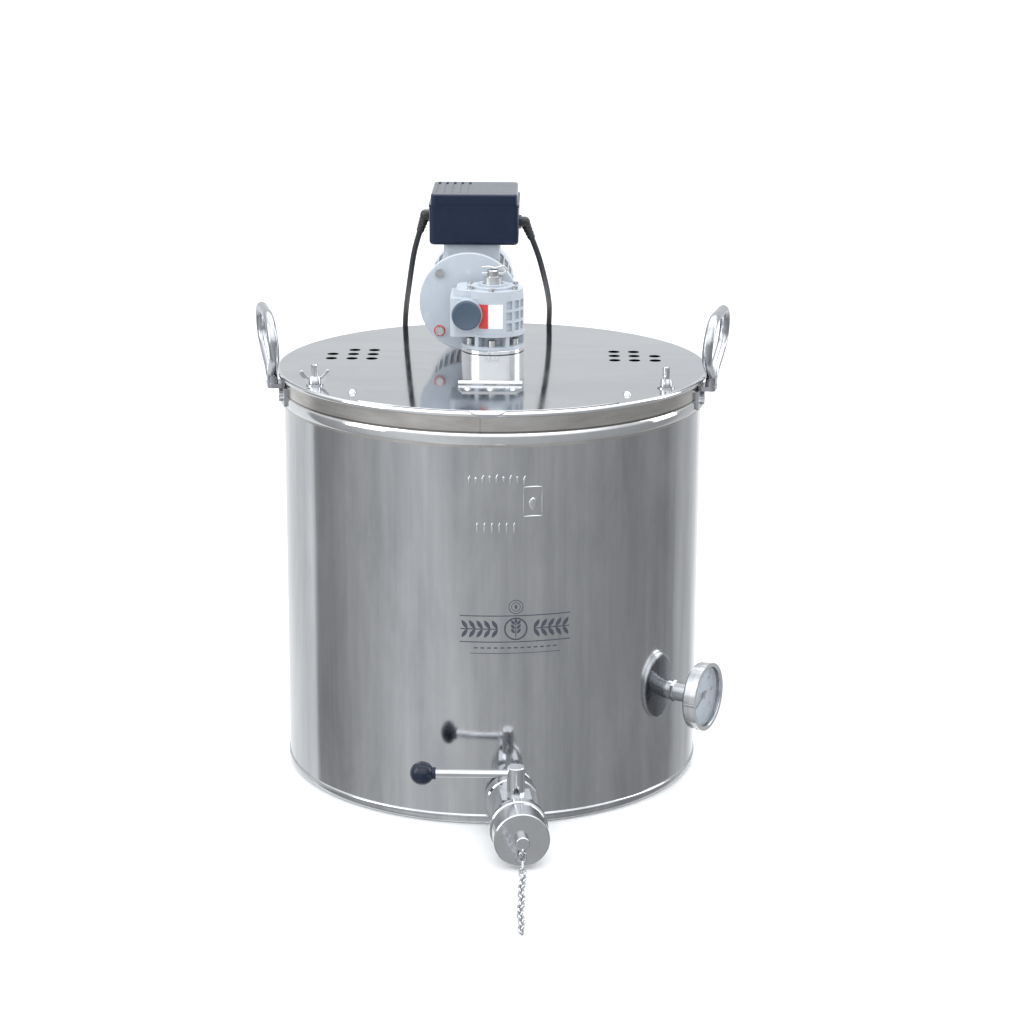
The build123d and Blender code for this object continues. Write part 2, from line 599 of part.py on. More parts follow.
with BuildPart() as motor_frame:
    ring(WORM_AXIS, FRAME_R, FRAME_R - 5, FRAME_Y0, FRAME_Y1)
    with BuildSketch(WORM_AXIS.offset(FRAME_Y0 + 6)):
        with PolarLocations(FRAME_R + 1.2, 36):
            Rectangle(6, 2.4)
        Circle(FRAME_R - 1, mode=Mode.SUBTRACT)
    extrude(amount=FRAME_Y1 - FRAME_Y0 - 12)
    with BuildSketch(Plane.XY.offset(WORM_Z + FRAME_R - 4)):
        with Locations(WIRE_WAY):
            RectangleRounded(68, 92, 6)
    extrude(amount=BOX_Z[0] - WORM_Z - FRAME_R + 4)
    ring(WORM_AXIS, FRAME_R - 5, 0, FRAME_Y0, FRAME_Y1, Mode.SUBTRACT)
    with BuildSketch(Plane.XY.offset(WORM_Z + FRAME_R - 10)):
        with Locations(WIRE_WAY):
            Circle(WIRE_WAY_R)
    extrude(amount=30, mode=Mode.SUBTRACT)
save(motor_frame, "motor_frame")

with BuildPart() as stator:
    ring(WORM_AXIS, FRAME_R - 5, 27.0, FRAME_Y0 + 22, FRAME_Y1 - 20)
    ring(WORM_AXIS, FRAME_R - 9, 29.0, FRAME_Y0 + 8, FRAME_Y1 - 8)
save(stator, "stator")

with BuildPart() as rear_shield:
    ring(WORM_AXIS, FRAME_R, 12.0, FRAME_Y1, FRAME_Y1 + 8)
    ring(WORM_AXIS, FRAME_R - 5.2, 12.0, FRAME_Y1 - 4, FRAME_Y1)
save(rear_shield, "motor_rear_shield")

with BuildPart() as fan_cowl:
    ring(WORM_AXIS, FRAME_R + 2.5, FRAME_R, FRAME_Y1 + 0.5, 216)
    ring(WORM_AXIS, FRAME_R + 2.5, 0, 216, 218)
    with BuildSketch(WORM_AXIS.offset(215)):
        for radius, count in ((14, 8), (24, 14), (34, 20), (43, 26)):
            with PolarLocations(radius, count):
                Circle(2.6)
    extrude(amount=5, mode=Mode.SUBTRACT)
    fillet(fan_cowl.edges().filter_by(GeomType.CIRCLE).group_by(Axis.Y)[-1].sort_by(SortBy.LENGTH)[-1], 1.5)
save(fan_cowl, "fan_cowl")

with BuildPart() as rotor_shaft:
    ring(WORM_AXIS, 5.0, 0, -36.5, -20)
    ring(WORM_AXIS, WORM_TIP, 0, -20, 20)
    for groove in range(8):
        ring(WORM_AXIS, WORM_TIP + 1, 5.8, -18 + groove * 4.6, -15.8 + groove * 4.6, Mode.SUBTRACT)
    ring(WORM_AXIS, 7.0, 0, 20, FRAME_Y0 + 6)
    ring(WORM_AXIS, 9.0, 0, FRAME_Y0 + 6, FRAME_Y1 - 6)
    ring(WORM_AXIS, 6.0, 0, FRAME_Y1 - 6, 208)
    ring(WORM_AXIS, 26.5, 0, FRAME_Y0 + 20, FRAME_Y1 - 18)
save(rotor_shaft, "rotor_and_worm")

with BuildPart() as cooling_fan:
    ring(WORM_AXIS, 11.0, 6.0, 191, 207)
    ring(WORM_AXIS, 42.0, 6.0, 191, 193)
    with BuildSketch(WORM_AXIS.offset(193)):
        with PolarLocations(27, 8):
            Rectangle(30, 2)
        Circle(10.8, mode=Mode.SUBTRACT)
    extrude(amount=14)
save(cooling_fan, "cooling_fan")

BOX_MID = (sum(BOX_X) / 2, sum(BOX_Y) / 2)
BOX_W, BOX_D = BOX_X[1] - BOX_X[0], BOX_Y[1] - BOX_Y[0]

with BuildPart() as terminal_box:
    with BuildSketch(Plane.XY.offset(BOX_Z[0])):
        with Locations(BOX_MID):
            RectangleRounded(BOX_W - 1.5, BOX_D - 1.5, 6)
    extrude(amount=BOX_SEAM - BOX_Z[0])
    fillet(terminal_box.edges().group_by(Axis.Z)[0], 5.0)
    offset(amount=-3, openings=terminal_box.faces().sort_by(Axis.Z)[-1])
    with BuildSketch(Plane.XY.offset(BOX_SEAM - 3)):
        with Locations(BOX_MID):
            RectangleRounded(BOX_W, BOX_D, 6.5)
            RectangleRounded(BOX_W - 7, BOX_D - 7, 4, mode=Mode.SUBTRACT)
    extrude(amount=3)
    ring(Plane.XY.move(Location((*WIRE_WAY, 0))), WIRE_WAY_R, 0, BOX_Z[0] - 12, BOX_Z[0] + 8, Mode.SUBTRACT)
save(terminal_box, "terminal_box")

with BuildPart() as terminal_lid:
    with BuildSketch(Plane.XY.offset(BOX_SEAM)):
        with Locations(BOX_MID):
            RectangleRounded(BOX_W - 5, BOX_D - 4, 6)
    extrude(amount=BOX_Z[1] - BOX_SEAM)
    fillet(terminal_lid.edges().group_by(Axis.Z)[-1], 2.5)
    with BuildSketch(Plane.XY.offset(BOX_SEAM)):
        with Locations(BOX_MID):
            RectangleRounded(BOX_W - 10, BOX_D - 9, 3.5)
    extrude(amount=BOX_Z[1] - BOX_SEAM - 3, mode=Mode.SUBTRACT)
    with BuildSketch(Plane.XY.offset(BOX_Z[1] - 1.0)):
        with GridLocations(9.5, 1, 5, 1):
            with Locations((BOX_MID[0] - 26, BOX_MID[1])):
                Rectangle(3.2, BOX_D - 22)
    extrude(amount=2, mode=Mode.SUBTRACT)
save(terminal_lid, "terminal_lid")

LEFT_EXIT, RIGHT_EXIT = (BOX_X[0] + 0.75, 130, 651), (BOX_X[1] - 0.75, 130, 643)
LEFT_WAY, RIGHT_WAY = Vector(-0.30, 0.27, -0.915).normalized(), Vector(0.36, 0.27, -0.89).normalized()
BOOT_LEN = 24.0


# elbow strain reliefs: a collar on the box, a round elbow, a boot that tapers to the cord
with BuildPart() as cord_boots:
    for exit_point, outward, way in ((LEFT_EXIT, -1, LEFT_WAY), (RIGHT_EXIT, 1, RIGHT_WAY)):
        ring(Plane(origin=exit_point, z_dir=(outward, 0, 0)), 8.5, 0, 0, 3)
        ring(Plane(origin=exit_point, z_dir=(outward, 0, 0)), 6.5, 0, 3, 7)
        elbow = Vector(*exit_point) + Vector(outward * 7, 0, 0)
        with Locations(elbow):
            Sphere(6.5)
        with BuildSketch(Plane(origin=elbow, z_dir=way)):
            Circle(6.3)
        with BuildSketch(Plane(origin=elbow + way * BOOT_LEN, z_dir=way)):
            Circle(4.4)
        loft()
save(cord_boots, "cord_boots")

# --- cords --------------------------------------------------------------------
MAINS_ROUTE = [(-93.6, 136.5, 628.9), (-99.6, 142.0, 610), (-104.4, 155, 585), (-109, 178, 557), (-113.5, 208, 532),
               (-117.5, 238, 506), (-120, 261, 468), (-121, 270, 412), (-119, 272, 346), (-120.5, 270, 280),
               (-118.5, 268, 214), (-120, 269, 154), (-119.6, 271, 108), (-119.4, 270.5, 72),
               (-119, 271.5, 43.6), (-111.4, 272, 25.2), (-97.3, 272.4, 11.1), (-79, 272.1, 3.6), (-59, 272, 3.5)]
LEAD_ROUTE = [(45.0, 136.6, 621.4), (52.4, 142.5, 602.5), (58.5, 157, 578), (63, 181, 555), (66, 213, 533),
              (67.5, 249, 513), (66.5, 277, 477), (64.5, 288, 424), (66, 289, 360), (63.5, 286, 294),
              (65, 285, 228), (63, 286.5, 164), (64.4, 288, 112), (63.7, 286.6, 73),
              (64, 286.2, 43.6), (71.6, 286, 25.2), (85.7, 286.4, 11.1), (104, 286.1, 3.6), (124, 286, 3.5)]
MAINS_COIL, LEAD_COIL = (-59.0, 317.0), (124.0, 331.0)
MAINS_TAIL = [(-59, 358.5, 10.6), (-80, 358.9, 12.2), (-101, 359.9, 17.2), (-121, 360.5, 18.5)]
LEAD_TAIL = [(124, 289.5, 10.6), (145, 289.9, 10.9), (166, 289.6, 12.0), (186, 288.5, 13.0)]


def arc_radii(route):
    """The largest arc that each corner's two runs allow."""
    radii = []
    for before, corner, after in zip(route, route[1:], route[2:]):
        arriving, leaving = Vector(*corner) - Vector(*before), Vector(*after) - Vector(*corner)
        half_turn = math.radians(arriving.get_angle(leaving)) / 2
        radii.append(0.45 * min(arriving.length, leaving.length) / math.tan(half_turn))
    return radii


def make_cord(route, name):
    """A round cord along straight runs joined by tangent arcs."""
    radii = arc_radii(route)
    with BuildPart() as cord:
        with BuildLine() as line:
            FilletPolyline(*route, radius=radii)
        path = line.wires()[0]
        with BuildSketch(Plane(origin=path @ 0, z_dir=path % 0)):
            Circle(CORD_R)
        sweep(path=path)
    expected = math.pi * CORD_R ** 2 * path.length
    print(name, "length", round(path.length, 1), "least radius", round(min(radii), 1),
          "volume ratio", round(cord.part.volume / expected, 4))
    return cord


def make_coil(centre, height):
    """The outer shape of a neat coil that lies on the floor."""
    with BuildPart() as coil:
        with BuildSketch(Plane.XY.move(Location((*centre, 0)))):
            Circle(COIL_R + 3 * CORD_R)
            Circle(COIL_R - 3 * CORD_R, mode=Mode.SUBTRACT)
        extrude(amount=height)
        fillet(coil.edges().filter_by(GeomType.CIRCLE), 3.0)
    return coil


for name, route, tail in (("mains_cord", MAINS_ROUTE, MAINS_TAIL), ("lead_cord", LEAD_ROUTE, LEAD_TAIL)):
    hanging, ending = make_cord(route, name), make_cord(tail, name + " tail")
    with BuildPart() as both:
        add(hanging.part)
        add(ending.part)
    save(both, name)
save(make_coil(MAINS_COIL, 14.0), "mains_coil")
save(make_coil(LEAD_COIL, 14.0), "lead_coil")

with BuildPart() as mains_plug:
    back = Plane(origin=MAINS_TAIL[-1], x_dir=(0, 1, 0), z_dir=(-1, 0, 0))
    with BuildSketch(back):
        Circle(5.0)
    with BuildSketch(back.offset(16)):
        Circle(9.5)
    with BuildSketch(back.offset(34)):
        Circle(18.2)
    loft(ruled=True)
    ring(back, 18.2, 0, 34, 52)
    with BuildSketch(back.offset(52)):
        with Locations((9.5, 0), (-9.5, 0)):
            Circle(2.4)
    extrude(amount=19)
save(mains_plug, "mains_plug")

with BuildPart() as lead_connector:
    back = Plane(origin=LEAD_TAIL[-1], x_dir=(0, 1, 0), z_dir=(1, -0.05, 0.0))
    with BuildSketch(back):
        Circle(4.6)
    with BuildSketch(back.offset(14)):
        Circle(8.0)
    loft()
    ring(back, 11.0, 0, 14, 30)
    ring(back, 12.6, 9.6, 30, 48)
    ring(back, 12.6, 0, 30, 34)
save(lead_connector, "lead_connector")

# --- thermometer --------------------------------------------------------------
with BuildPart() as thermometer_neck:
    ring(GAUGE_WALL, 4.0, 0, PROBE_S, 236)
    ring(GAUGE_WALL, SHAFT_R, 0, 236, 262)
    ring(GAUGE_WALL, 11.5, 0, 252, CASE_S)
    probe_end = radial_point(GAUGE_AZ, PROBE_S, GAUGE_Z)
    fillet(thermometer_neck.edges().filter_by(GeomType.CIRCLE).sort_by_distance(probe_end)[0], 3)
    for start, thickness in ((243.0, 5.1), (250.05, 1.95)):
        with BuildSketch(GAUGE_WALL.offset(start)):
            RegularPolygon(13.0, 6, rotation=15)
        extrude(amount=thickness)
save(thermometer_neck, "thermometer_neck")

with BuildPart() as thermometer_case:
    ring(GAUGE_WALL, CASE_R, 0, CASE_S, CASE_S + CASE_T)
    fillet(thermometer_case.faces().sort_by_distance(radial_point(GAUGE_AZ, CASE_S, GAUGE_Z))[0].edges(), 3.0)
    ring(GAUGE_WALL, CASE_R - 2, 0, CASE_S + 3, CASE_S + CASE_T, Mode.SUBTRACT)
save(thermometer_case, "thermometer_case")

with BuildPart() as thermometer_dial:
    ring(GAUGE_WALL, CASE_R - 2.1, 0.9, CASE_S + 6, CASE_S + 7)
save(thermometer_dial, "thermometer_dial")

with BuildPart() as thermometer_glass:
    ring(GAUGE_WALL, CASE_R - 2.1, 0, CASE_S + CASE_T - 3, CASE_S + CASE_T - 1)
save(thermometer_glass, "thermometer_glass")

with BuildPart() as thermometer_bezel:
    ring(GAUGE_WALL, CASE_R + 0.8, CASE_R, CASE_S + CASE_T - 5, CASE_S + CASE_T)
    ring(GAUGE_WALL, CASE_R + 0.8, CASE_R - 4.5, CASE_S + CASE_T, CASE_S + CASE_T + 1.6)
    bezel_edges = thermometer_bezel.edges().filter_by(GeomType.CIRCLE)
    fillet(bezel_edges.sort_by_distance(radial_point(GAUGE_AZ, 400, GAUGE_Z))[:2], 0.6)
save(thermometer_bezel, "thermometer_bezel")

with BuildPart() as pointer:
    ring(GAUGE_WALL, 0.8, 0, CASE_S + 3.2, CASE_S + 9)
    ring(GAUGE_WALL, 3.4, 0, CASE_S + 8.2, CASE_S + 9.6)
    face = radial_plane(GAUGE_AZ, CASE_S + 8.2, GAUGE_Z)
    with BuildSketch(turned(face, 205)):
        with BuildLine():
            Polyline((-9, -1.5), (-9, 1.5), (26, 0.45), (26, -0.45), (-9, -1.5))
        make_face()
    extrude(amount=0.8)
save(pointer, "thermometer_pointer")

# --- drain valve --------------------------------------------------------------
STEM_PLANE = Plane(origin=radial_point(VALVE_AZ, STEM_S, VALVE_Z), x_dir=(1, 0, 0), z_dir=UP)

with BuildPart() as drain_spigot:
    ring(VALVE_WALL, 14.0, 10.0, 240, 272)
    ring(VALVE_WALL, 20.0, 14.0, 250.05, 254)
save(drain_spigot, "drain_spigot")

with BuildPart() as valve_body:
    ring(VALVE_WALL, 31.0, 14.0, 256, 272)
    ring(VALVE_WALL, 31.0, 10.0, 272, 276)
    ring(VALVE_WALL, 25.0, 10.0, 276, 340)
    with BuildSketch(STEM_PLANE):
        Rectangle(34, 34, rotation=VALVE_AZ)
    extrude(amount=26.5)
    chamfer(valve_body.edges().filter_by(GeomType.CIRCLE).group_by(SortBy.RADIUS)[-1], 1.5)
    ring(VALVE_WALL, 10.0, 0, 250, 345, Mode.SUBTRACT)
    ring(VALVE_WALL, 17.0, 0, 296, 340, Mode.SUBTRACT)
    ring(STEM_PLANE, 5.06, 0, 0, 40, Mode.SUBTRACT)
    with BuildSketch(STEM_PLANE.offset(26.5)):
        RegularPolygon(9.5, 6)
        Circle(5.06, mode=Mode.SUBTRACT)
    extrude(amount=4.1)
save(valve_body, "valve_body")

with BuildPart() as valve_outlet:
    ring(VALVE_WALL, 33.0, 10.0, 340, 352)
    ring(VALVE_WALL, 17.0, 10.0, 332, 340)
    ring(VALVE_WALL, 24.0, 10.0, 352, 370)
    for groove in range(5):
        ring(VALVE_WALL, 25.0, 23.2, 354.5 + groove * 3, 355.9 + groove * 3, Mode.SUBTRACT)
    chamfer(valve_outlet.edges().filter_by(GeomType.CIRCLE).group_by(SortBy.RADIUS)[-1], 1.5)
save(valve_outlet, "valve_outlet")

BALL_R = 15.5
with BuildPart() as valve_seats:
    ring(VALVE_WALL, 17.0, 10.0, 296, 304)
    ring(VALVE_WALL, 17.0, 10.0, 324, 332)
    with Locations(radial_point(VALVE_AZ, STEM_S, VALVE_Z)):
        Sphere(BALL_R + 0.06, mode=Mode.SUBTRACT)
    ring(STEM_PLANE, 5.06, 0, 0, 40, Mode.SUBTRACT)
save(valve_seats, "valve_seats")

with BuildPart() as valve_ball:
    with Locations(radial_point(VALVE_AZ, STEM_S, VALVE_Z)):
        Sphere(BALL_R)
    across = Plane(origin=radial_point(VALVE_AZ, STEM_S, VALVE_Z), x_dir=UP, z_dir=VALVE_WALL.x_dir)
    with BuildSketch(across):
        Circle(10)
    extrude(amount=20, both=True, mode=Mode.SUBTRACT)
    ring(STEM_PLANE, 5.0, 0, 12.5, LEVER_Z - VALVE_Z + 4)
save(valve_ball, "valve_ball_and_stem")

ROD_PLANE = Plane(origin=radial_point(VALVE_AZ, STEM_S, LEVER_Z), x_dir=(0, 1, 0), z_dir=(-1, 0, 0))
with BuildPart() as valve_lever:
    ring(STEM_PLANE, 10.2, 0, 31.2, LEVER_Z - VALVE_Z + 9)
    chamfer(valve_lever.edges().group_by(Axis.Z)[-1], 1.0)
    ring(ROD_PLANE, 4.6, 0, 0, LEVER_LEN - 6)
    ring(STEM_PLANE, 5.0, 0, 10, LEVER_Z - VALVE_Z + 4, Mode.SUBTRACT)
save(valve_lever, "valve_lever")

with BuildPart() as lever_knob:
    knob_x = ROD_PLANE.origin.X - LEVER_LEN
    with BuildSketch(Plane(origin=(knob_x, ROD_PLANE.origin.Y, LEVER_Z), x_dir=(1, 0, 0), z_dir=(0, -1, 0))):
        with BuildLine():
            collar = math.sqrt(KNOB_R ** 2 - 49)
            ThreePointArc((-KNOB_R, 0), (0, KNOB_R), (collar, 7.0))
            Polyline((collar, 7.0), (collar + 4, 7.0), (collar + 4, 4.6), (6, 4.6), (6, 0), (-KNOB_R, 0))
        make_face()
    revolve(axis=Axis((knob_x, ROD_PLANE.origin.Y, LEVER_Z), (1, 0, 0)))
save(lever_knob, "lever_knob")

with BuildPart() as cap_gasket:
    ring(VALVE_WALL, 24.3, 9.0, 373, 376)
save(cap_gasket, "cap_gasket")

EYE_S, EYE_Z = 392.6, 25.5
WIRE_R = 1.2
with BuildPart() as outlet_cap:
    ring(VALVE_WALL, 8.0, 0, CAP_S1 - 4, CAP_S1 + 11)
    fillet(outlet_cap.edges().filter_by(GeomType.CIRCLE), 1.5)
    ring(VALVE_WALL, CAP_R, 0, CAP_S0, CAP_S1)
    chamfer(outlet_cap.edges().filter_by(GeomType.CIRCLE).filter_by(lambda e: e.radius > CAP_R - 0.1), 1.2)
    ring(VALVE_WALL, 24.4, 0, CAP_S0, CAP_S1 - 10, Mode.SUBTRACT)
    eye = Plane(origin=radial_point(VALVE_AZ, EYE_S, EYE_Z), x_dir=UP, z_dir=VALVE_WALL.x_dir)
    with BuildSketch(Plane(origin=eye.origin + eye.x_dir * 5, x_dir=eye.x_dir, z_dir=eye.y_dir)):
        Circle(WIRE_R)
    revolve(axis=Axis(eye.origin, eye.z_dir))
save(outlet_cap, "outlet_cap")

# --- chain --------------------------------------------------------------------
LINK_L, LINK_W, LINK_PITCH = 14.0, 9.0, 9.0
CHAIN_Z = [17.8, 9.2, 5.4, 4.5] + [3.8] * 16
CHAIN_ROLL = [0, 90, 18, 112] + [40, 132] * 8
CHAIN_TURN = [0, 0, 2, 4, 1, -4, -6, -3, 2, 5, 3, -2, -5, -4, 0, 4, 6, 3, -1, -4]

with BuildPart() as link:
    half, bow = (LINK_L - LINK_W) / 2, LINK_W / 2 - WIRE_R
    with BuildLine() as oval:
        Line((-half, bow), (half, bow))
        ThreePointArc((half, bow), (half + bow, 0), (half, -bow))
        Line((half, -bow), (-half, -bow))
        ThreePointArc((-half, -bow), (-half - bow, 0), (-half, bow))
    with BuildSketch(Plane(origin=oval.wires()[0] @ 0, z_dir=oval.wires()[0] % 0)):
        Circle(WIRE_R)
    sweep(path=oval.wires()[0])


def chain_frames():
    """Where each link lies: down from the eye, then forwards on the floor."""
    points = [Vector(*radial_point(VALVE_AZ, EYE_S, CHAIN_Z[0] + LINK_PITCH)),
              Vector(*radial_point(VALVE_AZ, EYE_S, CHAIN_Z[0]))]
    for z, turn in zip(CHAIN_Z[1:], CHAIN_TURN[1:]):
        drop = points[-1].Z - z
        level = math.sqrt(LINK_PITCH ** 2 - drop ** 2)
        a = math.radians(turn)
        points.append(points[-1] + Vector(level * math.sin(a), -level * math.cos(a), -drop))
    points.append(points[-1] * 2 - points[-2])
    frames = []
    for index, roll in enumerate(CHAIN_ROLL):
        before, here, after = points[index:index + 3]
        way = (after - before).normalized()
        side = VALVE_WALL.x_dir
        side = (side - way * side.dot(way)).normalized()
        frames.append(turned(Plane(origin=here, x_dir=way, z_dir=way.cross(side)), roll, "x"))
    return frames


with BuildPart() as cap_chain:
    for frame in chain_frames():
        add(link.part.moved(frame.location))
save(cap_chain, "cap_chain")
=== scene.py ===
"""Looks of the brew kettle: stage, cords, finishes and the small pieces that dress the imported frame.

Metres, +Z up, -Y to the front; outlines and routes are in millimetres until MM scales them.
An azimuth is counted from the front, towards +X.
"""
import math

import bmesh
import bpy
from mathutils import Matrix, Vector


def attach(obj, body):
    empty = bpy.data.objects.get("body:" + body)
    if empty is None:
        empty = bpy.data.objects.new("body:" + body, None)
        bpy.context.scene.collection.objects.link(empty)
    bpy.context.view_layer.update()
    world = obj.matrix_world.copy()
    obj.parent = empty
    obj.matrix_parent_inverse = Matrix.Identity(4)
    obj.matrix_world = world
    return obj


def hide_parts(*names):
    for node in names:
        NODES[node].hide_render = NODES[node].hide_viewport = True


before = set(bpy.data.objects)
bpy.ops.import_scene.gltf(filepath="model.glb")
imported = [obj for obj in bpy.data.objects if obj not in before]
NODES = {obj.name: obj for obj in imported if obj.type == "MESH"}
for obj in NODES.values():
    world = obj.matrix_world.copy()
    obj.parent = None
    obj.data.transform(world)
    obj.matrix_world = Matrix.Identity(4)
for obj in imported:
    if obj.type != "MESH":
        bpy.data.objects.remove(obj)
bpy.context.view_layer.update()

MM = 0.001
POT_R = 0.250
GAUGE_AZ, GAUGE_Z = 62.0, 0.120
DIAL_REACH, DIAL_R = 0.285, 0.0379
WORM_X, WORM_Z = -0.030, 0.5585
LID_TOP = 0.4915
BAND_GROOVE_Z, BAND_WELD_X = 0.4672, -0.008
COLLAR_JOINT_Z = 0.5095
WHEEL_HUB_Z = 0.577


# --- shader maths -------------------------------------------------------------
class Sock:
    """A shader node's output. Python's arithmetic on it adds Math nodes."""

    def __init__(self, finish, socket):
        self.finish, self.socket = finish, socket

    def math(self, operation, *values):
        return self.finish.node("ShaderNodeMath", {"operation": operation}, values)

    def __add__(self, other):
        return self.math("ADD", self, other)

    def __radd__(self, other):
        return self.math("ADD", other, self)

    def __sub__(self, other):
        return self.math("SUBTRACT", self, other)

    def __rsub__(self, other):
        return self.math("SUBTRACT", other, self)

    def __mul__(self, other):
        return self.math("MULTIPLY", self, other)

    def __rmul__(self, other):
        return self.math("MULTIPLY", other, self)

    def __truediv__(self, other):
        return self.math("DIVIDE", self, other)

    def __abs__(self):
        return self.math("ABSOLUTE", self)


class Finish:
    """A procedural material: a Principled shader and what feeds it."""

    def __init__(self, name, **constants):
        self.material = bpy.data.materials.new(name)
        self.open(self.material, "Principled BSDF", "Object")
        self.set(constants)

    def open(self, holder, shader, coordinates):
        holder.use_nodes = True
        self.tree = holder.node_tree
        self.shader = self.tree.nodes[shader]
        self.place = self.node("ShaderNodeTexCoord", output=coordinates)

    def axis(self, name):
        return self.node("ShaderNodeSeparateXYZ", {}, [self.place], name)

    def ramp(self, value, start, end, low=0.0, high=1.0):
        """A value that runs from low to high between start and end, eased at both."""
        sockets = {"Value": value, "From Min": start, "From Max": end, "To Min": low, "To Max": high}
        return self.node("ShaderNodeMapRange", {"clamp": True, "interpolation_type": "SMOOTHSTEP"}, sockets)

    def line(self, value, middle, half):
        """1 within a narrow band of a value, falling softly to 0 outside it."""
        return self.ramp(abs(value - middle), half, half * 1.8, 1.0, 0.0)

    def node(self, kind, settings=None, sockets=None, output=0):
        """Adds one node: its settings first, then the values or links of its sockets."""
        made = self.tree.nodes.new(kind)
        for key, value in (settings or {}).items():
            if key == "stops":
                ramp = made.color_ramp
                while len(ramp.elements) < len(value):
                    ramp.elements.new(0.5)
                for element, (position, colour) in zip(ramp.elements, value):
                    element.position, element.color = position, colour
            else:
                setattr(made, key, value)
        pairs = sockets.items() if isinstance(sockets, dict) else enumerate(sockets or ())
        self.feed(made, pairs)
        return Sock(self, made.outputs[output])

    def feed(self, node, pairs):
        for key, value in pairs:
            if isinstance(value, Sock):
                self.tree.links.new(value.socket, node.inputs[key])
            else:
                node.inputs[key].default_value = value

    def set(self, values):
        """Sets or links the shader's own sockets."""
        self.feed(self.shader, values.items())

    def at(self, stretch):
        return self.node("ShaderNodeMapping", {}, {"Vector": self.place, "Scale": stretch})

    def noise(self, scale, detail=3.0, rough=0.5, stretch=(1, 1, 1), twist=0.0):
        sockets = {"Vector": self.at(stretch), "Scale": scale, "Detail": detail,
                   "Roughness": rough, "Distortion": twist}
        return self.node("ShaderNodeTexNoise", {}, sockets)

    def between(self, value, low, high, start=0.3, end=0.7):
        """The part of a noise from start to end made to run evenly between low and high."""
        sockets = {"Value": value, "From Min": start, "From Max": end, "To Min": low, "To Max": high}
        return self.node("ShaderNodeMapRange", {"clamp": True}, sockets)

    def blend(self, factor, first, second):
        return self.node("ShaderNodeMix", {"data_type": "RGBA"}, {0: factor, 6: first, 7: second}, 2)

    def relief(self, height, distance, strength=1.0, under=None):
        sockets = {"Height": height, "Distance": distance, "Strength": strength}
        if under is not None:
            sockets["Normal"] = under
        return self.node("ShaderNodeBump", {}, sockets)


def rgb(red, green, blue):
    return (red, green, blue, 1.0)


# --- finishes -----------------------------------------------------------------
def wall_steel():
    """Bright drawn sheet: near mirror, with upright polishing streaks, smears and soft waves."""
    f = Finish("wall_steel", Metallic=1.0)
    streak = f.noise(1.0, 4.0, 0.6, (42, 42, 1.6))
    smear = f.noise(1.0, 5.0, 0.62, (17, 17, 4.5), 0.5)
    fine = f.noise(1.0, 2.0, 0.6, (420, 420, 6))
    tone = f.between(streak * 0.45 + smear * 0.55, 0.0, 1.0)
    f.set({"Base Color": f.blend(tone, rgb(0.39, 0.40, 0.415), rgb(0.66, 0.665, 0.685)),
           "Roughness": f.between(smear * 0.6 + fine * 0.4, 0.045, 0.15)})
    wave = f.relief(f.noise(3.2, 1.0, 0.4, (1.6, 1.6, 0.7)), 0.0035, 0.5)
    drawn = f.relief(f.noise(1.0, 2.0, 0.5, (30, 30, 1.5)), 0.00022, 0.5, wave)
    f.set({"Normal": f.relief(fine, 0.00002, 0.5, drawn)})
    return f.material


def band_steel():
    """The rolled rim band: brushed around, warmer than the wall, with painted shade darkening the groove,
    welded in front.
    """
    f = Finish("band_steel", Metallic=1.0, Anisotropic=0.35)
    brushed = f.noise(1.0, 3.0, 0.6, (5, 5, 900))
    cloud = f.noise(1.0, 4.0, 0.6, (14, 14, 60))
    height = f.axis("Z")
    # Painted shade: a dark line painted along the groove, where shade falls.
    groove_shade = f.line(height, BAND_GROOVE_Z, 0.0007)
    weld = f.line(f.axis("X"), BAND_WELD_X, 0.0007) * f.ramp(f.axis("Y"), -0.1, -0.2)
    steel = f.blend(f.between(cloud, 0.0, 1.0), rgb(0.47, 0.45, 0.425), rgb(0.66, 0.645, 0.63))
    # The dark colour is painted shade in the groove and the weld seam's own darker tone.
    f.set({"Base Color": f.blend(groove_shade * 0.75 + weld * 0.2, steel, rgb(0.12, 0.11, 0.10)),
           "Roughness": f.between(brushed, 0.13, 0.28),
           "Normal": f.relief(brushed, 0.00006, 0.5)})
    return f.material


def lid_steel():
    """Satin-polished disc that still mirrors softly: faint wipe marks, a slight sag of the sheet."""
    f = Finish("lid_steel", Metallic=1.0)
    wipe = f.noise(7.0, 5.0, 0.6, (1, 2.2, 1), 0.8)
    hair = f.noise(1.0, 2.0, 0.5, (260, 14, 1))
    f.set({"Base Color": f.blend(f.between(wipe, 0.0, 1.0), rgb(0.50, 0.515, 0.54), rgb(0.575, 0.585, 0.61)),
           "Roughness": f.between(wipe * 0.6 + hair * 0.4, 0.055, 0.13)})
    sag = f.relief(f.noise(2.4, 1.0, 0.4), 0.0022, 0.5)
    f.set({"Normal": f.relief(hair, 0.000008, 0.4, sag)})
    return f.material


def bright_steel(name, colour, low, high, line_stretch, depth=0.00002):
    """Polished or turned stainless pieces; line_stretch sets which way the tool marks run."""
    f = Finish(name, Metallic=1.0)
    marks = f.noise(1.0, 3.0, 0.55, line_stretch)
    cloud = f.noise(38.0, 3.0, 0.55)
    dark = rgb(*(c * 0.80 for c in colour))
    f.set({"Base Color": f.blend(cloud, dark, rgb(*colour)),
           "Roughness": f.between(marks * 0.5 + cloud * 0.5, low, high),
           "Normal": f.relief(marks, depth, 0.6)})
    return f.material


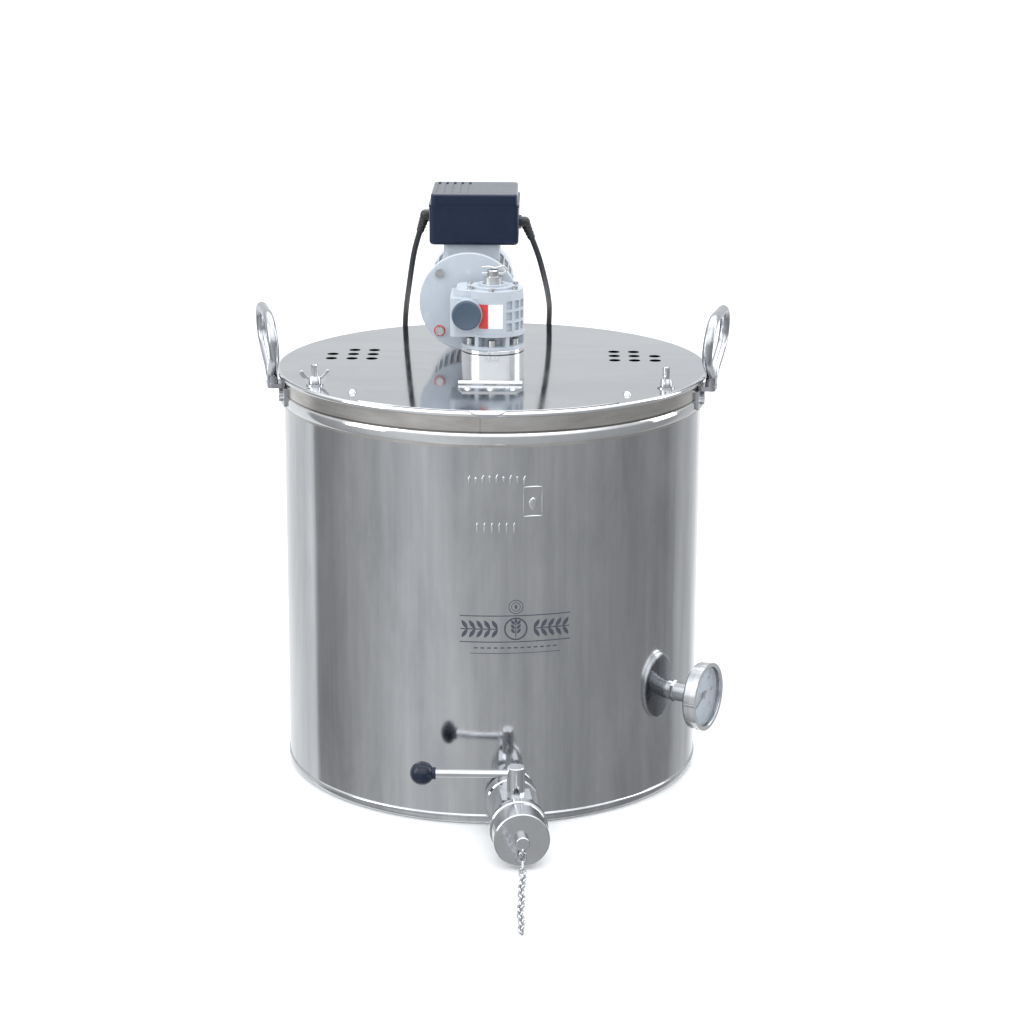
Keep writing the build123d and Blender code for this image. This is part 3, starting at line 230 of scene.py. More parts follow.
def cast_paint():
    """Light blue-grey machine enamel over a fine casting, dusty in places."""
    f = Finish("cast_paint", **{"Coat Weight": 0.35, "Coat Roughness": 0.16})
    cloud = f.noise(22.0, 4.0, 0.6)
    peel = f.noise(420.0, 2.0, 0.5)
    cast = f.noise(90.0, 4.0, 0.6)
    dust = f.between(f.noise(60.0, 6.0, 0.7), 0.0, 1.0, 0.60, 0.74)
    paint = f.blend(cloud, rgb(0.375, 0.415, 0.465), rgb(0.465, 0.505, 0.555))
    f.set({"Base Color": f.blend(dust * 0.55, paint, rgb(0.58, 0.60, 0.61)),
           "Roughness": f.between(cloud * 0.6 + peel * 0.4, 0.28, 0.44),
           "Normal": f.relief(peel, 0.00005, 0.35, f.relief(cast, 0.0002, 0.3))})
    return f.material


def moulded(name, colour, low, high, grain=900.0, depth=0.00004, shine=0.5):
    """Moulded plastic or rubber with a fine spark-eroded grain."""
    f = Finish(name, **{"Specular IOR Level": shine})
    cloud = f.noise(30.0, 4.0, 0.6)
    pits = f.noise(grain, 2.0, 0.5)
    rub = f.noise(140.0, 5.0, 0.7, (1, 3, 1))
    light = rgb(*(c * 1.45 + 0.006 for c in colour))
    f.set({"Base Color": f.blend(cloud * 0.6 + rub * 0.4, rgb(*colour), light),
           "Roughness": f.between(rub * 0.6 + cloud * 0.4, low, high),
           "Normal": f.relief(pits, depth, 0.5)})
    return f.material


def zinc_plate():
    f = Finish("zinc_plate", Metallic=1.0)
    cloud = f.noise(150.0, 4.0, 0.6)
    f.set({"Base Color": f.blend(cloud, rgb(0.42, 0.43, 0.44), rgb(0.68, 0.69, 0.68)),
           "Roughness": f.between(cloud, 0.18, 0.36),
           "Normal": f.relief(f.noise(700.0), 0.00003, 0.4)})
    return f.material


def turned_collar():
    """Aluminium turned on a lathe: fine rings, bright, with a dark joint line under its upper step."""
    f = Finish("turned_collar", Metallic=1.0)
    lines = f.noise(1.0, 3.0, 0.6, (8, 8, 1600))
    cloud = f.noise(18.0, 3.0, 0.5)
    joint = f.line(f.axis("Z"), COLLAR_JOINT_Z, 0.0006)
    metal = f.blend(cloud, rgb(0.84, 0.85, 0.865), rgb(0.94, 0.945, 0.955))
    f.set({"Base Color": f.blend(joint * 0.9, metal, rgb(0.06, 0.06, 0.065)),
           "Roughness": f.between(lines * 0.5 + cloud * 0.5, 0.12, 0.24),
           "Normal": f.relief(lines, 0.00003, 0.5)})
    return f.material


def tooth_bronze():
    """Bronze wheel rim on a steel hub, which alone shows above the gearbox."""
    f = Finish("tooth_bronze", Metallic=1.0)
    cloud = f.noise(80.0, 4.0, 0.6)
    bronze = f.blend(cloud, rgb(0.42, 0.25, 0.10), rgb(0.62, 0.42, 0.18))
    hub = f.ramp(f.axis("Z"), WHEEL_HUB_Z - 0.0005, WHEEL_HUB_Z + 0.0005)
    f.set({"Base Color": f.blend(hub, bronze, rgb(0.60, 0.61, 0.62)),
           "Roughness": f.between(cloud, 0.22, 0.42),
           "Normal": f.relief(f.noise(1.0, 2.0, 0.5, (60, 60, 1800)), 0.00003, 0.4)})
    return f.material


def lamination_stack():
    """Stacked electrical sheet: thin plates across the motor's axis."""
    f = Finish("lamination_stack", Metallic=0.85)
    plates = f.noise(1.0, 1.0, 0.3, (1, 2400, 1))
    cloud = f.noise(60.0, 4.0, 0.6)
    f.set({"Base Color": f.blend(cloud, rgb(0.16, 0.16, 0.17), rgb(0.34, 0.33, 0.32)),
           "Roughness": f.between(plates, 0.35, 0.6),
           "Normal": f.relief(plates, 0.0001, 0.7)})
    return f.material


def soft_polymer(name, colour, low, high, subsurface=0.0):
    f = Finish(name, **{"Subsurface Weight": subsurface, "Subsurface Scale": 0.003})
    cloud = f.noise(45.0, 4.0, 0.6)
    dark = rgb(*(c * 0.82 for c in colour))
    f.set({"Base Color": f.blend(cloud, dark, rgb(*colour)),
           "Roughness": f.between(cloud, low, high),
           "Normal": f.relief(f.noise(380.0), 0.00005, 0.35)})
    return f.material


def clear_glass():
    f = Finish("clear_glass", IOR=1.46, **{"Transmission Weight": 1.0})
    smear = f.noise(60.0, 4.0, 0.6)
    f.set({"Base Color": f.blend(smear, rgb(0.93, 0.96, 0.97), rgb(1.0, 1.0, 1.0)),
           "Roughness": f.between(smear, 0.0, 0.03)})
    return f.material


def dial_face():
    """Brushed dial plate, a cool silvery grey."""
    f = Finish("dial_face", Metallic=0.15)
    brushed = f.noise(1.0, 3.0, 0.6, (80, 80, 1500))
    cloud = f.noise(70.0, 3.0, 0.5)
    f.set({"Base Color": f.blend(cloud, rgb(0.28, 0.34, 0.43), rgb(0.36, 0.42, 0.51)),
           "Roughness": f.between(brushed, 0.3, 0.42),
           "Normal": f.relief(brushed, 0.00001, 0.4)})
    return f.material


def printed(name, colour, rough=0.42):
    """Screen-printed ink: slightly uneven, matt."""
    f = Finish(name)
    wear = f.noise(260.0, 5.0, 0.7)
    light = rgb(*(c * 1.3 + 0.015 for c in colour))
    f.set({"Base Color": f.blend(wear, rgb(*colour), light),
           "Roughness": f.between(wear, rough - 0.08, rough + 0.12),
           "Normal": f.relief(wear, 0.00001, 0.4)})
    return f.material


def stage_floor():
    """Plain pale floor, faintly mottled."""
    f = Finish("stage_floor", **{"Specular IOR Level": 0.1})
    grain = f.noise(14.0, 4.0, 0.6)
    f.set({"Base Color": f.blend(grain, rgb(0.80, 0.80, 0.805), rgb(0.83, 0.83, 0.835)),
           "Roughness": f.between(grain, 0.75, 0.9)})
    return f.material


STEEL = (0.64, 0.65, 0.67)
FINISHES = {
    "stainless_body": wall_steel(),
    "stainless_mirror": bright_steel("polished_steel", (0.74, 0.75, 0.77), 0.05, 0.16, (30, 30, 30)),
    "stainless_small": bright_steel("bright_steel", STEEL, 0.08, 0.22, (70, 70, 70)),
    "collar_metal": turned_collar(),
    "gear_paint": cast_paint(),
    "zinc": zinc_plate(),
    "seal": moulded("seal_rubber", (0.02, 0.02, 0.022), 0.5, 0.7),
    "laminations": lamination_stack(),
    "box_plastic": moulded("box_plastic", (0.002, 0.008, 0.025), 0.13, 0.24, 700.0, 0.00002, 0.36),
    "black_plastic": moulded("black_plastic", (0.012, 0.013, 0.015), 0.30, 0.48),
    "cord_black": moulded("cord_sheath", (0.013, 0.014, 0.016), 0.34, 0.52, 500.0, 0.00005),
    "bronze": tooth_bronze(),
    "ptfe": soft_polymer("ptfe", (0.82, 0.81, 0.78), 0.35, 0.5, 0.1),
    "silicone": soft_polymer("silicone", (0.62, 0.60, 0.57), 0.4, 0.55, 0.2),
    "dial": dial_face(),
    "glass": clear_glass(),
    "knob_plastic": moulded("knob_plastic", (0.002, 0.006, 0.018), 0.20, 0.32, 500.0, 0.00001, 0.34),
    "pointer": printed("pointer_black", (0.012, 0.012, 0.014), 0.35),
}
OWN_FINISH = {
    "rim_band": band_steel(),
    "lid_plate": lid_steel(),
    "valve_body": bright_steel("valve_steel", (0.70, 0.71, 0.73), 0.06, 0.20, (60, 400, 60)),
}
HATCH_STEEL = OWN_FINISH["lid_plate"]
ROLLED_EDGE = bright_steel("rolled_edge", (0.80, 0.81, 0.83), 0.05, 0.14, (6, 6, 300))
OWN_FINISH["handle_left"] = OWN_FINISH["handle_right"] = bright_steel(
    "handle_steel", (0.50, 0.51, 0.54), 0.16, 0.30, (50, 50, 160))
OWN_FINISH["worm_end_cap"] = moulded("end_cap_slate", (0.040, 0.064, 0.095), 0.40, 0.55, 500.0, 0.00004)
INK = printed("print_ink", (0.030, 0.034, 0.050))
RED_INK = printed("label_red", (0.52, 0.035, 0.030), 0.3)
LABEL_FOIL = printed("label_foil", (0.70, 0.72, 0.74), 0.25)
TICK_INK = printed("tick_ink", (0.02, 0.02, 0.022))


# --- places and shapes --------------------------------------------------------
def outward(azimuth, distance, height):
    """A place on the pot's side: local z points away from the pot's axis, local y up."""
    a = math.radians(azimuth)
    out = Vector((math.sin(a), -math.cos(a), 0))
    along = Vector((math.cos(a), math.sin(a), 0))
    turn = Matrix((along, Vector((0, 0, 1)), out)).transposed()
    return Matrix.Translation(out * distance + Vector((0, 0, height))) @ turn.to_4x4()


def facing(point, way):
    """A place whose local z looks along a direction."""
    return Matrix.Translation(Vector(point)) @ Vector(way).to_track_quat("Z", "Y").to_matrix().to_4x4()


def arc(centre, radius, start, end, count):
    """Points of a round stretch of an outline, angles in degrees."""
    for step in range(count + 1):
        a = math.radians(start + (end - start) * step / count)
        yield (centre[0] + radius * math.cos(a), centre[1] + radius * math.sin(a))


def spun(bm, outline, steps=64, closed=False):
    """Turns an outline of (radius, height) points about the local z axis."""
    verts = [bm.verts.new((r, 0, z)) for r, z in outline]
    pairs = list(zip(verts, verts[1:])) + ([(verts[-1], verts[0])] if closed else [])
    edges = [bm.edges.new(pair) for pair in pairs]
    bmesh.ops.spin(bm, geom=verts + edges, cent=(0, 0, 0), axis=(0, 0, 1), angle=2 * math.pi,
                   steps=steps, use_merge=True)
    bmesh.ops.remove_doubles(bm, verts=bm.verts, dist=1e-7)


def rod(bm, radius, length, place, segments=40, tip=None):
    """A rod along a place's local z and centred there; a tip radius makes it taper."""
    bmesh.ops.create_cone(bm, cap_ends=True, segments=segments, radius1=radius,
                          radius2=radius if tip is None else tip, depth=length, matrix=place)


def add_part(bm, part, place):
    """Puts a finished part at its place in a larger mesh."""
    bmesh.ops.transform(part, matrix=place, verts=part.verts)
    mesh = bpy.data.meshes.new("part")
    part.to_mesh(mesh)
    part.free()
    bm.from_mesh(mesh)
    bpy.data.meshes.remove(mesh)


def piece(name, bm, finish, body, stands_for=(), crease=32.0, place=None):
    """Makes a mesh object of a bmesh, shades it smooth up to the crease angle and lets it ride a body."""
    if place is not None:
        bmesh.ops.transform(bm, matrix=place, verts=bm.verts)
    bmesh.ops.recalc_face_normals(bm, faces=bm.faces)
    for face in bm.faces:
        face.smooth = True
    for edge in bm.edges:
        edge.smooth = len(edge.link_faces) == 2 and edge.calc_face_angle(0) < math.radians(crease)
    mesh = bpy.data.meshes.new(name)
    bm.to_mesh(mesh)
    bm.free()
    made = bpy.data.objects.new(name, mesh)
    bpy.context.scene.collection.objects.link(made)
    mesh.materials.append(finish)
    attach(made, body)
    if stands_for:
        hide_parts(*stands_for)
    return made


# --- camera and stage ---------------------------------------------------------
CAMERA_AT = (0.071, -3.133, 1.160)
CAMERA_PITCH, CAMERA_YAW, CAMERA_ROLL = 15.22, -0.86, 0.25
LENS_MM, SENSOR_MM = 93.7, 36.0


def make_camera():
    data = bpy.data.cameras.new("camera")
    data.lens, data.sensor_width = LENS_MM, SENSOR_MM
    camera = bpy.data.objects.new("camera", data)
    bpy.context.scene.collection.objects.link(camera)
    turn = Matrix.Rotation(math.radians(-CAMERA_YAW), 4, "Z")
    tip = Matrix.Rotation(math.radians(90 - CAMERA_PITCH), 4, "X")
    roll = Matrix.Rotation(math.radians(CAMERA_ROLL), 4, "Z")
    camera.matrix_world = Matrix.Translation(CAMERA_AT) @ turn @ tip @ roll
    bpy.context.scene.camera = camera


def soft_light(name, at, look, size, power, tint=(1.0, 1.0, 1.0)):
    data = bpy.data.lights.new(name, "AREA")
    data.shape, data.size, data.size_y = "RECTANGLE", size[0], size[1]
    data.energy, data.color = power, tint
    light = bpy.data.objects.new(name, data)
    bpy.context.scene.collection.objects.link(light)
    way = Vector(look) - Vector(at)
    light.matrix_world = Matrix.Translation(at) @ way.to_track_quat("-Z", "Y").to_matrix().to_4x4()


class Surround(Finish):
    """The light from all round, by its direction."""

    def __init__(self, name):
        self.world = bpy.data.worlds.new(name)
        self.open(self.world, "Background", "Generated")


def grey(value):
    return rgb(value, value, value)


def make_surround():
    """A pale room: bright behind, lighter at the front left, dim at both sides, under a wide soft ceiling."""
    s = Surround("studio")
    across, along, up = (s.axis(name) for name in "XYZ")
    share = across.math("ARCTAN2", across, 0 - along) / (2 * math.pi) + 0.5  # 0 and 1 behind, 0.5 in front
    walls = [(0.0, 1.1), (0.05, 1.06), (0.176, 0.90), (0.188, 0.33), (0.25, 0.42), (0.386, 0.80),
             (0.50, 0.58), (0.60, 0.48), (0.75, 0.36), (0.815, 0.36), (0.86, 0.60), (0.91, 0.66),
             (0.95, 1.06), (1.0, 1.1)]
    stops = [(place, grey(value)) for place, value in walls]
    sides = s.node("ShaderNodeValToRGB", {"stops": stops}, [share])
    sky = s.ramp(up, 0.38, 0.80, 0.80, 1.75) + s.ramp(along, -0.15, -0.7, 0.0, 0.9) * s.ramp(up, 0.08, 0.35)
    light = s.blend(s.ramp(up, 0.02, 0.26), sides, s.node("ShaderNodeCombineXYZ", {}, [sky, sky, sky]))
    s.set({"Color": s.node("ShaderNodeMix", {"data_type": "RGBA", "blend_type": "MULTIPLY"},
                           {0: 1.0, 6: light, 7: rgb(0.965, 0.985, 1.0)}, 2)})
    return s.world


def make_stage():
    bm = bmesh.new()
    bmesh.ops.create_grid(bm, x_segments=8, y_segments=8, size=7.0)
    mesh = bpy.data.meshes.new("floor")
    bm.to_mesh(mesh)
    bm.free()
    floor = bpy.data.objects.new("floor", mesh)
    floor.location.z = -0.0004
    bpy.context.scene.collection.objects.link(floor)
    mesh.materials.append(stage_floor())
    floor.visible_glossy = False
    soft_light("top_panel", (0.2, 0.6, 2.6), (0, 0, 0.3), (2.6, 2.0), 34)
    soft_light("left_panel", (-2.1, -0.9, 1.3), (0, 0, 0.3), (1.1, 2.0), 22, (0.97, 0.985, 1.0))
    soft_light("right_panel", (2.3, 0.5, 1.2), (0, 0, 0.3), (0.9, 2.0), 16)
    bpy.context.scene.world = make_surround()
    bpy.context.scene.view_settings.view_transform = "Standard"


make_camera()
make_stage()

# --- cords --------------------------------------------------------------------
CORD_R = 3.5 * MM
MAINS_ROUTE = [(-93.6, 136.5, 628.9), (-99.6, 142.0, 610), (-104.4, 155, 585), (-109, 178, 557),
               (-113.5, 208, 532), (-117.5, 238, 506), (-120, 261, 468), (-121, 270, 412), (-119, 272, 346),
               (-120.5, 270, 280), (-118.5, 268, 214), (-120, 269, 154), (-119.6, 271, 108),
               (-119.4, 270.5, 72), (-119, 271.5, 43.6), (-111.4, 272, 25.2), (-97.3, 272.4, 11.1),
               (-79, 272.1, 3.6), (-59, 272, 3.5)]
LEAD_ROUTE = [(45.0, 136.6, 621.4), (52.4, 142.5, 602.5), (58.5, 157, 578), (63, 181, 555), (66, 213, 533),
              (67.5, 249, 513), (66.5, 277, 477), (64.5, 288, 424), (66, 289, 360), (63.5, 286, 294),
              (65, 285, 228), (63, 286.5, 164), (64.4, 288, 112), (63.7, 286.6, 73),
              (64, 286.2, 43.6), (71.6, 286, 25.2), (85.7, 286.4, 11.1), (104, 286.1, 3.6), (124, 286, 3.5)]
MAINS_COIL, LEAD_COIL = (-59.0, 317.0), (124.0, 331.0)
MAINS_TAIL = [(-80, 358.9, 12.2), (-101, 359.9, 17.2), (-121, 360.5, 18.5)]
LEAD_TAIL = [(145, 289.9, 10.9), (166, 289.6, 12.0), (186, 288.5, 13.0)]
FLOOR_LANE, TOP_LANE = 3.5, 9.8
TURN_POINTS, LANE_CHANGE = 24, 0.62


def coil_turns(centre, lanes, turns):
    """Points of a coil that enters in front, runs anticlockwise and changes lane late in each turn."""
    total = int(turns * TURN_POINTS)
    for step in range(1, total + 1):
        turn, share = divmod(step / TURN_POINTS, 1.0)
        lane = min(int(turn), len(lanes) - 1)
        (r0, z0), (r1, z1) = lanes[lane], lanes[min(lane + 1, len(lanes) - 1)]
        ease = min(max((share - LANE_CHANGE) / (1 - LANE_CHANGE), 0.0), 1.0)
        ease = ease * ease * (3 - 2 * ease)
        r, z = r0 + (r1 - r0) * ease, z0 + (z1 - z0) * ease
        a = -math.pi / 2 + 2 * math.pi * step / TURN_POINTS
        yield (centre[0] + r * math.cos(a), centre[1] + r * math.sin(a), z)


def make_cord(name, points, stands_for):
    """One round cord along one smooth spline."""
    data = bpy.data.curves.new(name, "CURVE")
    data.dimensions = "3D"
    data.bevel_depth, data.bevel_resolution, data.resolution_u = CORD_R, 5, 6
    data.use_fill_caps = True
    spline = data.splines.new("NURBS")
    spline.points.add(len(points) - 1)
    for place, point in zip(spline.points, points):
        place.co = (*(c * MM for c in point), 1.0)
    spline.order_u = 3
    spline.use_endpoint_u = True
    cord = bpy.data.objects.new(name, data)
    bpy.context.scene.collection.objects.link(cord)
    data.materials.append(FINISHES["cord_black"])
    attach(cord, "lid")
    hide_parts(*stands_for)
    return cord


MAINS_LANES = [(45, FLOOR_LANE), (38, FLOOR_LANE), (31, FLOOR_LANE), (34.5, TOP_LANE), (41.5, TOP_LANE)]
LEAD_LANES = [(45, FLOOR_LANE), (38, FLOOR_LANE), (41.5, TOP_LANE)]
mains = make_cord("mains_lead", MAINS_ROUTE + list(coil_turns(MAINS_COIL, MAINS_LANES, 4.5)) + MAINS_TAIL,
                  ("mains_cord", "mains_coil"))
lead = make_cord("control_lead", LEAD_ROUTE + list(coil_turns(LEAD_COIL, LEAD_LANES, 3)) + LEAD_TAIL,
                 ("lead_cord", "lead_coil"))


def ribbed_boot(bm, place, length, wide, narrow, ribs):
    """A tapered strain relief with soft ribs, from its wide end along local z."""
    outline = [(0, -0.5 * MM), (wide, -0.5 * MM)]
    pitch = length / ribs
    for rib in range(ribs):
        share = (rib + 0.5) / ribs
        r = wide + (narrow - wide) * share
        start = rib * pitch
        outline += [(r, start + 0.12 * pitch), (r + 0.25 * MM, start + 0.4 * pitch),
                    (r, start + 0.68 * pitch), (r - 0.9 * MM, start + 0.80 * pitch),
                    (r - 0.9 * MM, start + 0.98 * pitch)]
    outline += [(narrow - 0.3 * MM, length), (0, length)]
    boot = bmesh.new()
    spun(boot, outline, 48)
    add_part(bm, boot, place)


# Where each lead leaves the box, its side, and the way its boot points.
BOX_EXITS = (((-79.25, 130, 651), -1, (-0.30, 0.27, -0.915)), ((29.25, 130, 643), 1, (0.36, 0.27, -0.89)))
ELBOW_R = 6.5 * MM


def make_boots():
    """Elbow strain reliefs: a hexagon collar on the box, a round elbow, a ribbed taper."""
    bm = bmesh.new()
    for exit_point, side, way in BOX_EXITS:
        root = Vector(exit_point) * MM
        base = facing(root, (side, 0, 0))
        rod(bm, 8.5 * MM, 3 * MM, base @ Matrix.Translation((0, 0, 1.5 * MM)), 6)
        rod(bm, ELBOW_R, 5 * MM, base @ Matrix.Translation((0, 0, 4.5 * MM)))
        elbow = root + Vector((side * 7 * MM, 0, 0))
        bmesh.ops.create_uvsphere(bm, u_segments=40, v_segments=20, radius=ELBOW_R,
                                  matrix=Matrix.Translation(elbow))
        ribbed_boot(bm, facing(elbow, way), 24 * MM, 6.2 * MM, 4.6 * MM, 5)
    return piece("strain_boots", bm, FINISHES["black_plastic"], "lid", ("cord_boots",))


make_boots()

GRIP_RIBS, KNURLS, CONTACTS = 14, 24, 4


def make_plug():
    """A round rewirable mains plug: ribbed grip, parting line, two pins."""
    bm = bmesh.new()
    outline = [(0, 0), (5.0, 0), (5.6, 3), (7.2, 9), (9.5, 16), (12.4, 22), (15.6, 28)]
    outline += list(arc((15.2, 34), 3.0, -40, 0, 4)) + [(18.2, 41), (17.7, 41.6), (17.7, 42.4), (18.2, 43)]
    outline += list(arc((16.7, 50.5), 1.5, 0, 90, 4)) + [(0, 52)]
    spun(bm, [(r * MM, z * MM) for r, z in outline], 64)
    for side in (-1, 1):
        rod(bm, 2.4 * MM, 20 * MM, Matrix.Translation((0, side * 9.5 * MM, 61 * MM)), 24)
    for index in range(GRIP_RIBS):
        a = 2 * math.pi * index / GRIP_RIBS
        rib = Matrix.Rotation(a, 4, "Z") @ Matrix.Translation((13.4 * MM, 0, 26 * MM))
        lean = rib @ Matrix.Rotation(math.radians(28), 4, "Y")
        bmesh.ops.create_cube(bm, size=1.0, matrix=lean @ Matrix.Diagonal((1.6 * MM, 1.4 * MM, 15 * MM, 1)))
    place = Matrix.Translation(Vector(MAINS_TAIL[-1]) * MM) @ Matrix.Rotation(math.radians(-90), 4, "Y")
    return piece("mains_plug_shell", bm, FINISHES["black_plastic"], "lid", ("mains_plug",),
                 place=place)


def make_connector():
    """An in-line connector: taper, knurled ring, open socket with its contact pins."""
    bm = bmesh.new()
    outline = [(0, 0), (4.6, 0), (5.4, 4), (6.6, 9), (8.0, 14), (10.2, 14.4)]
    outline += list(arc((10.0, 16), 1.0, -60, 0, 3)) + [(11.0, 29), (11.6, 30)]
    outline += list(arc((11.6, 31.2), 1.0, -60, 0, 3)) + [(12.6, 47)] + list(arc((11.8, 47.2), 0.8, 0, 90, 3))
    outline += [(9.6, 48), (9.6, 34), (0, 34)]
    spun(bm, [(r * MM, z * MM) for r, z in outline], 64)
    for index in range(KNURLS):
        a = 2 * math.pi * index / KNURLS
        ridge = Matrix.Rotation(a, 4, "Z") @ Matrix.Translation((11.1 * MM, 0, 22.5 * MM))
        bmesh.ops.create_cube(bm, size=1.0, matrix=ridge @ Matrix.Diagonal((0.9 * MM, 1.1 * MM, 11 * MM, 1)))
    for index in range(CONTACTS):
        a = 2 * math.pi * (index + 0.5) / CONTACTS
        pin = Matrix.Rotation(a, 4, "Z") @ Matrix.Translation((4.6 * MM, 0, 39 * MM))
        rod(bm, 0.9 * MM, 10.5 * MM, pin, 16, tip=0.7 * MM)
    place = facing(Vector(LEAD_TAIL[-1]) * MM, (1, -0.05, 0))
    return piece("lead_connector_shell", bm, FINISHES["black_plastic"], "lid",
                 ("lead_connector",), place=place)


plug = make_plug()
connector = make_connector()


# --- marks on the wall --------------------------------------------------------
BADGE_AZ, BADGE_Z = 7.5, 0.2375
RAISED_AZ, RAISED_Z = 4.5, 0.3865


def wrapped(bm, azimuth, height, radius=POT_R):
    """Bends flat work onto the pot: x goes round the wall, y up it and z out of it."""
    for vert in bm.verts:
        angle = math.radians(azimuth) + vert.co.x / radius
        reach = radius + vert.co.z
        vert.co = (reach * math.sin(angle), -reach * math.cos(angle), height + vert.co.y)


def bar(bm, centre, size, proud, cut=4 * MM):
    """A flat bar, cut across often enough to bend with the wall."""
    place = Matrix.Translation((*centre, 0)) @ Matrix.Diagonal((*size, 2 * proud, 1))
    verts = bmesh.ops.create_cube(bm, size=1.0, matrix=place)["verts"]
    geometry = verts + [e for v in verts for e in v.link_edges] + [f for v in verts for f in v.link_faces]
    geometry = list(dict.fromkeys(geometry))
    for step in range(1, int(size[0] / cut)):
        at = (centre[0] - size[0] / 2 + step * cut, 0, 0)
        made = bmesh.ops.bisect_plane(bm, geom=geometry, plane_co=at, plane_no=(1, 0, 0))
        geometry = list(dict.fromkeys(made["geom"]))


def grain(bm, centre, size, tilt, proud):
    """A grain shape: a flattened ball with pointed ends."""
    place = (Matrix.Translation((*centre, 0)) @ Matrix.Rotation(math.radians(tilt), 4, "Z")
             @ Matrix.Diagonal((size[0] / 2, size[1] / 2, proud, 1)))
    made = bmesh.ops.create_uvsphere(bm, u_segments=16, v_segments=10, radius=1.0,
                                     matrix=Matrix.Rotation(math.radians(90), 4, "X"))
    for vert in made["verts"]:
        vert.co.x *= 1 - 0.45 * vert.co.y ** 2
    bmesh.ops.transform(bm, matrix=place, verts=made["verts"])


def hoop(bm, centre, radius, width, proud, steps=56):
    """A flat ring."""
    inner, outer = radius - width / 2, radius + width / 2
    ring = bmesh.new()
    spun(ring, [(inner, -proud), (outer, -proud), (outer, proud), (inner, proud)], steps, closed=True)
    add_part(bm, ring, Matrix.Translation((*centre, 0)))


def make_printed_mark():
    """A made-up badge: an ear of grain in a ring, between rows of grains and rules."""
    bm, proud = bmesh.new(), 0.12 * MM
    for y in (15.5, -15.5):
        bar(bm, (0, y * MM), (128 * MM, 1.1 * MM), proud)
    bar(bm, (0, -29 * MM), (104 * MM, 0.7 * MM), proud)
    for side in (-1, 1):
        for index in range(5):
            for row in (-1, 1):
                at = (side * (24 + index * 8.6) * MM, row * 5.2 * MM)
                grain(bm, at, (4.6 * MM, 12 * MM), -side * row * 34, proud)
        bar(bm, (side * 42 * MM, 0), (42 * MM, 1.3 * MM), proud)
    for index in range(13):
        bar(bm, ((index - 6) * 7.6 * MM, -22.5 * MM), (4.4 * MM, 1.5 * MM), proud)
    hoop(bm, (0, 0), 12.6 * MM, 1.8 * MM, proud)
    hoop(bm, (0, 26 * MM), 8.0 * MM, 0.9 * MM, proud)
    hoop(bm, (0, 26 * MM), 5.0 * MM, 0.7 * MM, proud)
    grain(bm, (0, 26 * MM), (3.0 * MM, 5.6 * MM), 0, proud)
    bar(bm, (0, -1.5 * MM), (1.1 * MM, 18 * MM), proud)
    for row in range(3):
        for side in (-1, 1):
            grain(bm, (side * 3.4 * MM, (row * 5 - 2.5) * MM), (3.4 * MM, 7.0 * MM), -side * 38, proud)
    grain(bm, (0, 9.5 * MM), (3.2 * MM, 6.0 * MM), 0, proud)
    wrapped(bm, BADGE_AZ, BADGE_Z)
    return piece("printed_badge", bm, INK, "pot")


def make_embossed_marks():
    """Raised dashes and a drop in a frame, pressed out of the wall."""
    bm, proud = bmesh.new(), 0.9 * MM
    for index in range(9):
        tall = (11.2, 7.36, 11.2, 9.28)[index % 4]
        x, y = (index - 4) * 7.8 - 9.0, 27 - abs(index - 4) * 0.5
        grain(bm, (x * MM, y * MM), (3.4 * MM, tall * MM), 8 if index % 2 else -8, proud)
    for index in range(6):
        x = (index - 2.5) * 8.4 - 10.0
        grain(bm, (x * MM, -30 * MM), (3.6 * MM, 12.5 * MM), 0, proud)
    for side in (-1, 1):
        grain(bm, ((32 + side * 10.5) * MM, 0), (2.4 * MM, 34 * MM), 0, proud)
    for y in (-17, 17):
        grain(bm, (32 * MM, y * MM), (2.4 * MM, 22 * MM), 90, proud)
    grain(bm, (32 * MM, -2.5 * MM), (10 * MM, 15 * MM), 0, proud * 1.3)
    wrapped(bm, RAISED_AZ, RAISED_Z)
    return piece("embossed_marks", bm, FINISHES["stainless_mirror"], "pot")


make_printed_mark()
make_embossed_marks()


# --- dial ---------------------------------------------------------------------
DIAL_START, DIAL_SWEEP, DIAL_STEPS = 220.0, -260.0, 60
# How often a kind of tick comes, its length and its width: the first kind that fits is used.
TICKS = ((10, 5.6 * MM, 0.8 * MM), (5, 3.8 * MM, 0.5 * MM), (1, 2.4 * MM, 0.3 * MM))


def figure(text, size, at, place, name, finish, body):
    """A small flat figure, made a mesh before it is placed."""
    curve = bpy.data.curves.new(name, "FONT")
    curve.body, curve.size, curve.extrude = text, size, 0.05 * MM
    curve.align_x, curve.align_y = "CENTER", "CENTER"
    holder = bpy.data.objects.new(name, curve)
    bpy.context.scene.collection.objects.link(holder)
    bpy.context.view_layer.update()
    mesh = bpy.data.meshes.new_from_object(holder)
    bpy.data.objects.remove(holder)
    bm = bmesh.new()
    bm.from_mesh(mesh)
    bpy.data.meshes.remove(mesh)
    bmesh.ops.remove_doubles(bm, verts=bm.verts, dist=1e-7)
    bmesh.ops.translate(bm, vec=(*at, 0), verts=bm.verts)
    return piece(name, bm, finish, body, place=place)


